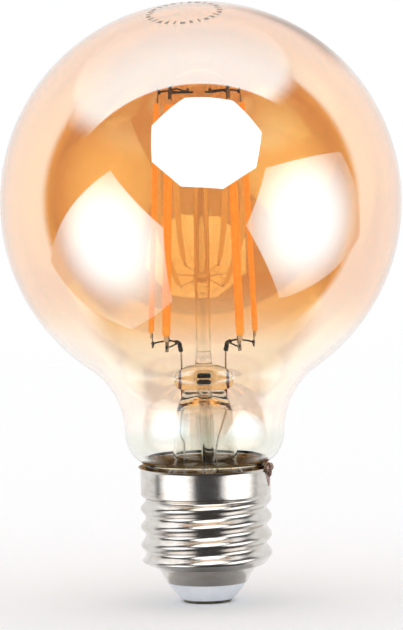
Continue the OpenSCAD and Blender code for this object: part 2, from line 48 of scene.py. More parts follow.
TURN = 2 * math.pi
MERGE_M = 2e-7                       # points nearer than this are one point
BODY = "root"
MIX_A, MIX_B, MIX_OUT = 6, 7, 2      # colour sockets of the Mix node
WHITE = (1.0, 1.0, 1.0, 1.0)
BLACK = (0.0, 0.0, 0.0, 1.0)
SRGB_KNEE, SRGB_FOOT, SRGB_LIFT, SRGB_POWER = 0.04045, 12.92, 0.055, 2.4

# Sizes that several sub-assemblies share, in millimetres
RIM_Z = 27.2                         # the cap's rim
SKIRT_R, SKIRT_Z = 12.0, 24.0        # foot of the glass inside the cap
LEAD_X = 4.4                         # a lead's distance from the axis
SEAL_TOP = 46.9                      # where the leads come out of the press
BEAD_R, BEAD_Z = 2.6, 102.06         # the bead at the head of the post

log = logging.getLogger("globe_lamp")

Ring = list[Vector]
Profile = Sequence[tuple[float, float]]
Colour = tuple[float, float, float, float]
Socket = bpy.types.NodeSocket


class Facing(Enum):
    """Which way a filament group stands from the lamp's axis."""

    LEFT = -1
    RIGHT = 1


# Small helpers ------------------------------------------------------------------------------------


def linear(hex_colour: str) -> Colour:
    """Turns an sRGB hex colour into linear light.

    Args:
        hex_colour: Six hex digits after a hash sign.

    Returns:
        Red, green and blue in linear light, and an alpha of one.
    """
    parts = [int(hex_colour[i:i + 2], 16) / 255 for i in (1, 3, 5)]
    light = [c / SRGB_FOOT if c <= SRGB_KNEE else ((c + SRGB_LIFT) / (1 + SRGB_LIFT)) ** SRGB_POWER
             for c in parts]
    return (light[0], light[1], light[2], 1.0)


def node(tree: bpy.types.NodeTree, kind: str, inputs: dict | None = None,
         **settings: object) -> bpy.types.Node:
    """Adds a node with its settings, and sets or links its inputs.

    Args:
        tree: The node tree that gets the node.
        kind: The node's type name.
        inputs: Values or output sockets by input name or index.
        settings: The node's own properties.

    Returns:
        The new node.
    """
    made = tree.nodes.new(kind)
    for name, value in settings.items():
        setattr(made, name, value)
    for key, value in (inputs or {}).items():
        if isinstance(value, bpy.types.NodeSocket):
            tree.links.new(value, made.inputs[key])
        else:
            made.inputs[key].default_value = value
    return made


def emptied(owner: bpy.types.Material | bpy.types.World) -> bpy.types.NodeTree:
    """Turns on the nodes of a material or a world, and gives back their tree with nothing in it.

    Args:
        owner: The material or world.

    Returns:
        Its empty node tree.
    """
    owner.use_nodes = True
    owner.node_tree.nodes.clear()
    return owner.node_tree


def mix(a: float, b: float, t: float) -> float:
    """Goes from a to b as t goes from nought to one."""
    return a + (b - a) * t


def smooth(t: float) -> float:
    """Eases t in and out between nought and one."""
    u = min(1.0, max(0.0, t))
    return u * u * (3 - 2 * u)


def spread(low: float, high: float, steps: int) -> list[float]:
    """Evenly spaced values from low to high, both included."""
    return [mix(low, high, i / steps) for i in range(steps + 1)]


def arc(centre: tuple[float, float], radius: float, start: float, end: float,
        steps: int) -> list[tuple[float, float]]:
    """Points of an arc between two angles in degrees."""
    turns = [math.radians(a) for a in spread(start, end, steps)]
    return [(centre[0] + radius * math.cos(a), centre[1] + radius * math.sin(a)) for a in turns]


def turned(profile: Profile, sides: int = 96) -> list[Ring]:
    """Rings of a profile of radius and height turned about the lamp's axis."""
    angles = [TURN * k / sides for k in range(sides)]
    return [[Vector((r * math.cos(a), r * math.sin(a), z)) for a in angles] for r, z in profile]


def stadium(half: float, radius: float, z: float, sides: int = 64) -> Ring:
    """A level ring with two round ends, whose centres lie half either side of the axis along X."""
    angles = [TURN * (k + 0.5) / sides for k in range(sides)]
    return [Vector((math.copysign(half, math.cos(a)) + radius * math.cos(a), radius * math.sin(a), z))
            for a in angles]


def softened(points: Sequence[Vector], radius: float, steps: int = 6) -> list[Vector]:
    """Rounds each corner of a run of points.

    Args:
        points: The corners, ends included.
        radius: How far from a corner its bend starts.
        steps: Pieces in each bend.

    Returns:
        The points of the bent run.
    """
    bent = [points[0]]
    for before, corner, after in zip(points, points[1:], points[2:]):
        a = corner + (before - corner).normalized() * min(radius, (before - corner).length / 2)
        b = corner + (after - corner).normalized() * min(radius, (after - corner).length / 2)
        bent += [a.lerp(corner, t).lerp(corner.lerp(b, t), t) for t in spread(0, 1, steps)]
    return bent + [points[-1]]


def swept(points: Sequence[Vector], diameters: Sequence[float] | float, sides: int = 16) -> list[Ring]:
    """Rings along a path, turned as little as possible from one to the next.

    Args:
        points: The path.
        diameters: One diameter, or one for each point.
        sides: Points in a ring.

    Returns:
        The rings.
    """
    too_short = 0.1
    sizes = [diameters] * len(points) if isinstance(diameters, (int, float)) else list(diameters)
    rings: list[Ring] = []
    side = Vector((0.0, 0.0, 0.0))
    for i, point in enumerate(points):
        ahead = (points[min(i + 1, len(points) - 1)] - points[max(i - 1, 0)]).normalized()
        side = side - ahead * side.dot(ahead)
        if side.length < too_short:
            side = ahead.orthogonal()
        side.normalize()
        other = ahead.cross(side)
        rings.append([point + (side * math.cos(a) + other * math.sin(a)) * sizes[i] / 2
                      for a in (TURN * k / sides for k in range(sides))])
    return rings


class Skin:
    """A mesh grown from rings of points in millimetres, each run with its own finish."""

    def __init__(self) -> None:
        """Starts with nothing."""
        self.points: list[Vector] = []
        self.faces: list[list[int]] = []
        self.finish: list[int] = []

    def grow(self, rings: Sequence[Ring], finish: int | Callable[[int], int] = 0,
             looped: bool = False) -> "Skin":
        """Joins rings into walls, and closes the two ends unless the run is looped.

        Args:
            rings: Rings with the same number of points.
            finish: The finish's place in the piece's list, or a function that gives it for each band.
            looped: True where the last ring joins the first.

        Returns:
            The skin itself.
        """
        start, count, sides = len(self.points), len(rings), len(rings[0])
        for ring in rings:
            self.points.extend(ring)
        for i in range(count if looped else count - 1):
            a, b = start + i * sides, start + (i + 1) % count * sides
            for k in range(sides):
                j = (k + 1) % sides
                self.faces.append([a + k, a + j, b + j, b + k])
                self.finish.append(finish(i) if callable(finish) else finish)
        if not looped:
            for low in (start, start + (count - 1) * sides):
                self.faces.append([low + k for k in range(sides)])
                self.finish.append(finish(0) if callable(finish) else finish)
        return self

    def moved(self, matrix: Matrix) -> "Skin":
        """Moves every point by a matrix in millimetres."""
        self.points = [matrix @ p for p in self.points]
        return self


# Finishes -----------------------------------------------------------------------------------------


@dataclass(frozen=True)
class Surface:
    """What every finish shares: its name, and a material that is built once.

    Attributes:
        name: The material's name.
    """

    name: str

    def material(self) -> bpy.types.Material:
        """Builds the material on its first use, and gives back the same one from then on."""
        made = bpy.data.materials.get(self.name)
        if made is None:
            made = bpy.data.materials.new(self.name)
            self.lay(emptied(made))
        return made

    def lay(self, tree: bpy.types.NodeTree) -> None:
        """Fills the material's empty tree, in each kind of finish's own way."""
        raise NotImplementedError


@dataclass(frozen=True)
class Finish(Surface):
    """A solid surface: patches of two colours, a spread of roughness, and fine relief.

    Attributes:
        colour: Its main colour.
        patch: The colour of its patches.
        roughness: Least and most roughness.
        metallic: One for a metal.
        grain_mm: Size of the patches.
        relief_mm: Size of the fine relief, drawn no finer than it can show.
        depth_mm: Depth of the relief.
        stretch: How the pattern is drawn out along X, Y and Z.
        coat: Weight of a clear skin over it.
        glow: Strength of a painted glow: light that the phosphor gives out by itself, though the lamp is unlit.
        patch_range: Noise between which one colour turns into the other.
        rough_range: Noise between which the roughness goes from least to most.
    """

    colour: str
    patch: str
    roughness: tuple[float, float]
    metallic: float = 0.0
    grain_mm: float = 2.0
    relief_mm: float = 0.4
    depth_mm: float = 0.01
    stretch: tuple[float, float, float] = (1.0, 1.0, 1.0)
    coat: float = 0.0
    glow: float = 0.0
    patch_range: tuple[float, float] = (0.35, 0.68)
    rough_range: tuple[float, float] = (0.3, 0.7)

    def lay(self, tree: bpy.types.NodeTree) -> None:
        """Lays the patches, the roughness, the relief and any painted glow.

        Args:
            tree: The material's empty node tree.
        """
        where = node(tree, "ShaderNodeTexCoord").outputs["Object"]
        drawn = node(tree, "ShaderNodeMapping", {"Vector": where, "Scale": self.stretch}).outputs[0]
        patches = node(tree, "ShaderNodeTexNoise", {
            "Vector": drawn, "Scale": 1 / (self.grain_mm * MM), "Detail": 4.0, "Roughness": 0.6}).outputs[0]
        fine = node(tree, "ShaderNodeTexNoise", {
            "Vector": drawn, "Scale": 1 / (self.relief_mm * MM), "Detail": 3.0}).outputs[0]
        share = node(tree, "ShaderNodeMapRange", {
            "Value": patches, "From Min": self.patch_range[0], "From Max": self.patch_range[1]},
            interpolation_type="SMOOTHSTEP").outputs[0]
        colour = node(tree, "ShaderNodeMix", {
            0: share, MIX_A: linear(self.colour), MIX_B: linear(self.patch)},
            data_type="RGBA").outputs[MIX_OUT]
        rough = node(tree, "ShaderNodeMapRange", {
            "Value": fine, "From Min": self.rough_range[0], "From Max": self.rough_range[1],
            "To Min": self.roughness[0], "To Max": self.roughness[1]}).outputs[0]
        relief = node(tree, "ShaderNodeBump", {
            "Height": fine, "Strength": 1.0, "Distance": self.depth_mm * MM}).outputs[0]
        surface = node(tree, "ShaderNodeBsdfPrincipled", {
            "Base Color": colour, "Roughness": rough, "Normal": relief,
            "Metallic": self.metallic, "Coat Weight": self.coat})
        # Painted glow: emission in the finish's own colour, which brightens it though the lamp is unlit
        if self.glow:
            surface.inputs["Emission Color"].default_value = linear(self.colour)
            surface.inputs["Emission Strength"].default_value = self.glow
        node(tree, "ShaderNodeOutputMaterial", {"Surface": surface.outputs[0]})


@dataclass(frozen=True)
class ClearGlass(Surface):
    """Drawn soda-lime glass with its faint streaks, which lets light reach what is inside it.

    Attributes:
        colour: What one wall lets through.
        streak: The same where the glass is denser.
        ior: Index of refraction.
        streak_mm: Width of the streaks that drawing leaves.
        draw: How the streaks are drawn out along X, Y and Z.
        wave: Strength of the waves that they make in the surface.
        wave_mm: Depth of those waves.
    """

    colour: str = "#FBFBF8"
    streak: str = "#F2F1EA"
    ior: float = 1.5
    streak_mm: float = 1.6
    draw: tuple[float, float, float] = (1.0, 1.0, 0.15)
    wave: float = 0.25
    wave_mm: float = 0.02

    def lay(self, tree: bpy.types.NodeTree) -> None:
        """Lays clear glass with streaks, which casts only the shade of its own colour.

        Args:
            tree: The material's empty node tree.
        """
        where = node(tree, "ShaderNodeTexCoord").outputs["Object"]
        along = node(tree, "ShaderNodeMapping", {"Vector": where, "Scale": self.draw}).outputs[0]
        streaks = node(tree, "ShaderNodeTexNoise", {
            "Vector": along, "Scale": 1 / (self.streak_mm * MM), "Detail": 2.0}).outputs[0]
        colour = node(tree, "ShaderNodeMix", {
            0: streaks, MIX_A: linear(self.colour), MIX_B: linear(self.streak)},
            data_type="RGBA").outputs[MIX_OUT]
        wave = node(tree, "ShaderNodeBump", {
            "Height": streaks, "Strength": self.wave, "Distance": self.wave_mm * MM}).outputs[0]
        glass = node(tree, "ShaderNodeBsdfPrincipled", {
            "Base Color": colour, "Roughness": 0.0, "IOR": self.ior, "Transmission Weight": 1.0,
            "Normal": wave}).outputs[0]
        through = node(tree, "ShaderNodeBsdfTransparent", {"Color": linear(self.colour)}).outputs[0]
        path = node(tree, "ShaderNodeLightPath").outputs["Is Shadow Ray"]
        both = node(tree, "ShaderNodeMixShader", {0: path, 1: glass, 2: through}).outputs[0]
        node(tree, "ShaderNodeOutputMaterial", {"Surface": both})


@dataclass(frozen=True)
class FilmedGlass(Surface):
    """Blown glass under a vapour-laid film that lets amber through and mirrors the cool rest.

    The film is full over the globe, thins out towards the neck and ends there in a ragged, soft edge. Below
    that edge the glass is clear.

    Attributes:
        passed: What the full film lets through.
        cloudy: The same in its paler clouds.
        thin: The same where it has thinned out.
        mirrored: What the full film sends back.
        mirrored_thin: The same where it has thinned out.
        shade: What one wall lets through to a shadow.
        bare: What clear glass lets through.
        ior: Index of refraction.
        edge_mm: Heights where the film starts and where it closes.
        ragged_mm: How far its clouds move that edge.
        thinning_mm: Heights between which it grows to its full thickness.
        cloud_mm: Size of the film's uneven clouds.
    """

    passed: str = "#F0B478"
    cloudy: str = "#F4C28C"
    thin: str = "#FBE9DC"
    mirrored: str = "#649EAB"
    mirrored_thin: str = "#567A88"
    shade: str = "#E6E0DA"
    bare: str = "#FAFAF6"
    ior: float = 1.5
    edge_mm: tuple[float, float] = (33.2, 36.4)
    ragged_mm: float = 3.0
    thinning_mm: tuple[float, float] = (54.0, 63.0)
    cloud_mm: float = 26.0

    def lay(self, tree: bpy.types.NodeTree) -> None:
        """Lays the glass, and the film's own passed and mirrored light over it.

        Args:
            tree: The material's empty node tree.
        """
        where = node(tree, "ShaderNodeTexCoord").outputs["Object"]
        clouds = node(tree, "ShaderNodeTexNoise", {
            "Vector": where, "Scale": 1 / (self.cloud_mm * MM), "Detail": 3.0}).outputs[0]
        height = node(tree, "ShaderNodeSeparateXYZ", {0: where}).outputs["Z"]
        ragged = node(tree, "ShaderNodeMath", {
            0: clouds, 1: self.ragged_mm * MM, 2: height}, operation="MULTIPLY_ADD").outputs[0]
        film = node(tree, "ShaderNodeMapRange", {
            "Value": ragged, "From Min": (self.edge_mm[0] + self.ragged_mm / 2) * MM,
            "From Max": (self.edge_mm[1] + self.ragged_mm / 2) * MM},
            interpolation_type="SMOOTHSTEP").outputs[0]
        amber = node(tree, "ShaderNodeMix", {
            0: clouds, MIX_A: linear(self.passed), MIX_B: linear(self.cloudy)},
            data_type="RGBA").outputs[MIX_OUT]
        full = node(tree, "ShaderNodeMapRange", {
            "Value": ragged, "From Min": self.thinning_mm[0] * MM, "From Max": self.thinning_mm[1] * MM},
            interpolation_type="SMOOTHSTEP").outputs[0]
        amber = node(tree, "ShaderNodeMix", {
            0: full, MIX_A: linear(self.thin), MIX_B: amber}, data_type="RGBA").outputs[MIX_OUT]
        passed = node(tree, "ShaderNodeMix", {
            0: film, MIX_A: linear(self.bare), MIX_B: amber}, data_type="RGBA").outputs[MIX_OUT]
        cool = node(tree, "ShaderNodeMix", {
            0: full, MIX_A: linear(self.mirrored_thin), MIX_B: linear(self.mirrored)},
            data_type="RGBA").outputs[MIX_OUT]
        mirrored = node(tree, "ShaderNodeMix", {
            0: film, MIX_A: BLACK, MIX_B: cool}, data_type="RGBA").outputs[MIX_OUT]
        bend = node(tree, "ShaderNodeBsdfRefraction", {"Color": passed, "Roughness": 0.0, "IOR": self.ior}).outputs[0]
        mirror = node(tree, "ShaderNodeBsdfGlossy", {"Color": mirrored, "Roughness": 0.0}).outputs[0]
        skin = node(tree, "ShaderNodeBsdfGlossy", {"Color": WHITE, "Roughness": 0.0}).outputs[0]
        graze = node(tree, "ShaderNodeFresnel", {"IOR": self.ior}).outputs[0]
        laid = node(tree, "ShaderNodeAddShader", {0: bend, 1: mirror}).outputs[0]
        glass = node(tree, "ShaderNodeMixShader", {0: graze, 1: laid, 2: skin}).outputs[0]
        shade = node(tree, "ShaderNodeMix", {
            0: film, MIX_A: linear(self.bare), MIX_B: linear(self.shade)},
            data_type="RGBA").outputs[MIX_OUT]
        through = node(tree, "ShaderNodeBsdfTransparent", {"Color": shade}).outputs[0]
        path = node(tree, "ShaderNodeLightPath").outputs["Is Shadow Ray"]
        both = node(tree, "ShaderNodeMixShader", {0: path, 1: glass, 2: through}).outputs[0]
        node(tree, "ShaderNodeOutputMaterial", {"Surface": both})


# Blown glass with the amber film outside: strong cool mirror, warm see-through
AMBER_GLASS = FilmedGlass("blown_glass_amber_film")
# The same wall's inner face: plain fire-polished glass, so only its own thin gloss
INNER_GLASS = ClearGlass("blown_glass_inner_face", streak="#FBFBF8", streak_mm=8.0)
# Lead-free stem glass, drawn and pinched while hot: clear with lengthwise streaks
STEM_GLASS = ClearGlass("drawn_stem_glass")
# The same glass where it is pinched, tinted a warm amber
PINCHED_GLASS = ClearGlass("stem_glass_pinched", "#F6E2BE", "#EBCB93")
# Painted shade: nearly black brown and glossy, a dark disc that stands for the shaded inside of the exhaust hole
PAINTED_HOLE_SHADE = Finish("painted_shade_exhaust_hole", "#1A0F06", "#2E1C0C", (0.15, 0.3), grain_mm=0.5, relief_mm=0.2,
                      depth_mm=0.01)
# Nickel-plated steel, rolled: bright, with faint tarnish and tool marks round it
ROLLED_NICKEL = Finish("nickel_plated_steel_rolled", "#D9D5D1", "#CDC6BE", (0.15, 0.27), 1.0,
                       grain_mm=4.5, relief_mm=0.5, depth_mm=0.006, stretch=(1.0, 1.0, 2.5))
# The same shell's inner face: golden brown and part satin, as flux and resin leave it
STAINED_NICKEL = Finish("nickel_flux_stained", "#B98A3C", "#7A5820", (0.3, 0.6), 0.5, grain_mm=1.2,
                        relief_mm=0.4, depth_mm=0.02)
# Basing cement, baked: golden brown, gritty, with a few glossy grains
BAKED_CEMENT = Finish("basing_cement_baked", "#C08A2C", "#7D5A1C", (0.35, 0.7), grain_mm=0.8,
                      relief_mm=0.35, depth_mm=0.08)
# White PBT, injection moulded: cool white, half gloss, very slight orange peel
MOULDED_PBT = Finish("white_pbt_moulded", "#EFF3F9", "#E6EBF2", (0.28, 0.36), grain_mm=4.0, relief_mm=0.5,
                     depth_mm=0.004)
# Brass, stamped and nickel flashed: warm grey with a satin face
STAMPED_BRASS = Finish("brass_stamped", "#BDB5A2", "#9C9280", (0.24, 0.38), 1.0, grain_mm=1.6,
                       relief_mm=0.3, depth_mm=0.006)
# Lead-free solder, cooled in air: dull rippled skin with a pink flux stain
COOLED_SOLDER = Finish("solder_air_cooled", "#B79F95", "#6E4A40", (0.3, 0.6), 0.85, grain_mm=0.45,
                       relief_mm=0.3, depth_mm=0.05)
# Nickel wire, oxidised by the sealing flame: nearly black, part satin
FLAMED_NICKEL = Finish("nickel_wire_flame_oxidised", "#4A443F", "#2B2724", (0.3, 0.5), 0.8, grain_mm=0.6,
                       relief_mm=0.2, depth_mm=0.01)
# Nickel wire, drawn: plain bright grey
DRAWN_NICKEL = Finish("nickel_wire_drawn", "#B9B5AE", "#8F8A82", (0.2, 0.34), 1.0, grain_mm=0.8,
                      relief_mm=0.2, depth_mm=0.006, stretch=(1.0, 1.0, 0.3))
# Copper-clad seal wire, borated: dull red through the glass
BORATED_COPPER = Finish("copper_clad_wire_borated", "#8C3B22", "#5E2415", (0.3, 0.45), 0.6, grain_mm=0.5,
                        relief_mm=0.2, depth_mm=0.006)
# Tinned copper wire, drawn: soft silver
TINNED_WIRE = Finish("copper_wire_tinned", "#C4C2BC", "#9C9790", (0.22, 0.36), 1.0, grain_mm=0.6,
                     relief_mm=0.2, depth_mm=0.006)
# Silicone filled with phosphor, moulded over the chips: deep yellow grains, half gloss, and a slight painted glow
# that brightens the unlit strips
PHOSPHOR = Finish("phosphor_silicone_moulded", "#FFC858", "#FBB33A", (0.35, 0.5), grain_mm=0.7,
                  relief_mm=0.3, depth_mm=0.03, glow=0.25)
# Alumina strip, fired: matt off-white
FIRED_ALUMINA = Finish("alumina_strip_fired", "#E8E2D2", "#D8CFBA", (0.5, 0.65), grain_mm=0.5,
                       relief_mm=0.2, depth_mm=0.004)
# Plated steel tab, stamped: grey with bright edges
STAMPED_TAB = Finish("steel_tab_stamped", "#A9A59C", "#7F7A70", (0.25, 0.4), 1.0, grain_mm=0.6,
                     relief_mm=0.2, depth_mm=0.006)
# Polyester sleeve, formed: milky and dull
FORMED_SLEEVE = Finish("polyester_sleeve_formed", "#E6DFCB", "#D9D0B8", (0.4, 0.5), grain_mm=4.0,
                       relief_mm=0.5, depth_mm=0.01)
# Glass-epoxy board under a green mask, cured: waxy green over a faint weave
MASKED_BOARD = Finish("glass_epoxy_masked", "#1F6B3E", "#185632", (0.25, 0.35), grain_mm=1.2,
                      relief_mm=0.4, depth_mm=0.006, coat=0.4)
# Black epoxy, transfer moulded: charcoal with a fine matt grain
MOULDED_EPOXY = Finish("black_epoxy_moulded", "#1D1D20", "#2A2A2D", (0.5, 0.62), grain_mm=0.5,
                       relief_mm=0.15, depth_mm=0.008)
# Aluminium can in a dark heat-shrunk film: smooth with a soft gloss
SHRUNK_FILM = Finish("shrink_film_navy", "#1C2748", "#15203C", (0.2, 0.3), grain_mm=2.0, relief_mm=0.6,
                     depth_mm=0.008, coat=0.3)
# Ferrite, sintered: dark grey and grainy
SINTERED_FERRITE = Finish("ferrite_sintered", "#38383B", "#2A2A2C", (0.5, 0.7), grain_mm=0.6,
                          relief_mm=0.2, depth_mm=0.015)
# Enamelled copper, wound: fine turns drawn as coarse as they can show
WOUND_COPPER = Finish("copper_wire_wound", "#B5652E", "#7E3F1B", (0.25, 0.4), 0.9, grain_mm=0.5,
                      relief_mm=0.3, depth_mm=0.06, stretch=(0.1, 0.1, 2.0), coat=0.5)
# Chip parts, fired ceramic: tan with paler ends
FIRED_CERAMIC = Finish("chip_ceramic_fired", "#B79A72", "#D8D2C4", (0.4, 0.55), grain_mm=0.8,
                       relief_mm=0.2, depth_mm=0.01)
# Resistor in flameproof lacquer, dipped: blue-grey and slightly lumpy
DIPPED_LACQUER = Finish("resistor_lacquer_dipped", "#5E7F9E", "#4E6C88", (0.35, 0.45), grain_mm=1.0,
                        relief_mm=0.5, depth_mm=0.03)
# Tinned steel can, drawn: cool satin grey
DRAWN_CAN = Finish("tinned_steel_drawn", "#BFC1C2", "#9FA2A4", (0.25, 0.38), 1.0, grain_mm=1.5,
                   relief_mm=0.3, depth_mm=0.006)
# Ceramic ink, printed and fired on the crown: thin warm grey
FIRED_INK = Finish("grey_ink_fired", "#8F8378", "#A69A8C", (0.5, 0.6), grain_mm=0.8, relief_mm=0.3,
                   depth_mm=0.004)


def make_piece(name: str, skin: Skin, finishes: Sequence[Surface],
               replaced: Iterable[str] = (), crease: float = 38.0) -> bpy.types.Object:
    """Makes a piece from a skin, dresses it and gives it to the lamp's body.

    Args:
        name: The piece's name.
        skin: Its mesh in millimetres.
        finishes: Its finishes, in the order that the skin names them.
        replaced: The CAD nodes that it stands for.
        crease: Edges sharper than this many degrees stay crisp.

    Returns:
        The new object.
    """
    builder = bmesh.new()
    corners = [builder.verts.new(p * MM) for p in skin.points]
    for face, finish in zip(skin.faces, skin.finish):
        made = builder.faces.new([corners[i] for i in face])
        made.material_index = finish
        made.smooth = True
    bmesh.ops.remove_doubles(builder, verts=builder.verts, dist=MERGE_M)
    bmesh.ops.dissolve_degenerate(builder, edges=builder.edges, dist=MERGE_M)
    bmesh.ops.recalc_face_normals(builder, faces=builder.faces)
    mesh = bpy.data.meshes.new(name)
    builder.to_mesh(mesh)
    builder.free()
    mesh.set_sharp_from_angle(angle=math.radians(crease))
    for finish in finishes:
        mesh.materials.append(finish.material())
    piece = bpy.data.objects.new(name, mesh)
    bpy.context.scene.collection.objects.link(piece)
    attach(piece, BODY)
    if replaced:
        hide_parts(*replaced)
    log.info("%s: %d faces, stands for %s", name, len(mesh.polygons), ", ".join(replaced) or "nothing")
    return piece


# Sub-assemblies -----------------------------------------------------------------------------------


@dataclass
class Envelope:
    """The blown globe, its neck and the skirt inside the cap, in millimetres."""

    globe_r: float = 40.0
    wall: float = 0.9
    neck_r: float = 15.9
    neck_len: float = 0.2
    throat_r: float = 16.0
    shoulder_r: float = 6.6
    shoulder_up: float = 0.6
    skirt_r: float = SKIRT_R
    skirt_z: float = SKIRT_Z
    skirt_down: float = 0.4
    rim_z: float = RIM_Z
    sides: int = 192
    globe_steps: int = 110
    bend_steps: int = 24
    print_tilt: float = 14.0
    print_turn: float = 254.0
    print_r: float = 7.6
    print_lifts: tuple[float, float] = (0.01, 0.03)
    tick_count: int = 27
    tick_halves: tuple[float, ...] = (0.028, 0.07, 0.045)
    tick_talls: tuple[float, ...] = (2.6, 1.7, 2.2)
    globe_z: float = field(init=False)
    shoulder_x: float = field(init=False)
    shoulder_z: float = field(init=False)
    shoulder_turn: float = field(init=False)
    throat_x: float = field(init=False)
    throat_z: float = field(init=False)
    throat_turn: float = field(init=False)

    def __post_init__(self) -> None:
        """Works out where the arcs of the outline meet."""
        self.shoulder_x = self.neck_r - self.shoulder_r
        self.shoulder_turn = math.degrees(math.acos((self.skirt_r - self.shoulder_x) / self.shoulder_r))
        self.shoulder_z = (self.rim_z + self.shoulder_up
                           + self.shoulder_r * math.sin(math.radians(self.shoulder_turn)))
        self.throat_x = self.neck_r + self.throat_r
        self.throat_z = self.shoulder_z + self.neck_len
        reach = self.globe_r + self.throat_r
        self.globe_z = self.throat_z + math.sqrt(reach ** 2 - self.throat_x ** 2)
        self.throat_turn = math.degrees(math.atan2(self.globe_z - self.throat_z, self.throat_x))

    def outline(self, inset: float) -> list[tuple[float, float]]:
        """Half outline from the crown to the skirt.

        Args:
            inset: How far it is moved into the wall.

        Returns:
            Radius and height of each point.
        """
        globe = arc((0.0, self.globe_z), self.globe_r - inset, 90, -self.throat_turn, self.globe_steps)
        throat = arc((self.throat_x, self.throat_z), self.throat_r + inset, 180 - self.throat_turn, 180,
                     self.bend_steps)
        shoulder = arc((self.shoulder_x, self.shoulder_z), self.shoulder_r - inset, 0, -self.shoulder_turn,
                       self.bend_steps)
        skirt = [(self.skirt_r - inset, self.rim_z - self.skirt_down), (self.skirt_r - inset, self.skirt_z)]
        return globe + throat[1:] + shoulder + skirt

    def build(self) -> None:
        """Makes the globe with a filmed outer face and a clear inner face."""
        outer = self.outline(0.0)
        inner = self.outline(self.wall)
        rings = turned(outer + inner[::-1], self.sides)
        skin = Skin().grow(rings, lambda band: 0 if band < len(outer) - 1 else 1, looped=True)
        make_piece("blown_globe", skin, [AMBER_GLASS, INNER_GLASS], ["glass_globe"])
        self.print_crown()

    def on_globe(self, across: float, up: float, lift: float) -> Vector:
        """A point near the crown's print.

        Args:
            across: Angle round the printed ring in radians.
            up: Distance from the ring's middle along the glass.
            lift: Height above the glass.

        Returns:
            The point.
        """
        polar = up / self.globe_r
        local = Vector((math.sin(polar) * math.cos(across), math.sin(polar) * math.sin(across),
                        math.cos(polar)))
        turn = Matrix.Rotation(math.radians(self.print_turn), 3, "Z")
        tilt = Matrix.Rotation(math.radians(self.print_tilt), 3, "Y")
        return turn @ tilt @ local * (self.globe_r + lift) + Vector((0.0, 0.0, self.globe_z))

    def print_crown(self) -> None:
        """Prints a ring of plain ticks on the crown."""
        skin = Skin()
        for i in range(self.tick_count):
            middle = TURN * i / self.tick_count
            half = self.tick_halves[i % len(self.tick_halves)]
            tall = self.tick_talls[i % len(self.tick_talls)]
            corners = [(-half, 0.0), (half, 0.0), (half, tall), (-half, tall)]
            rings = [[self.on_globe(middle + a, self.print_r - u / 2, lift) for a, u in corners]
                     for lift in self.print_lifts]
            skin.grow(rings)
        make_piece("crown_print_ticks", skin, [FIRED_INK])


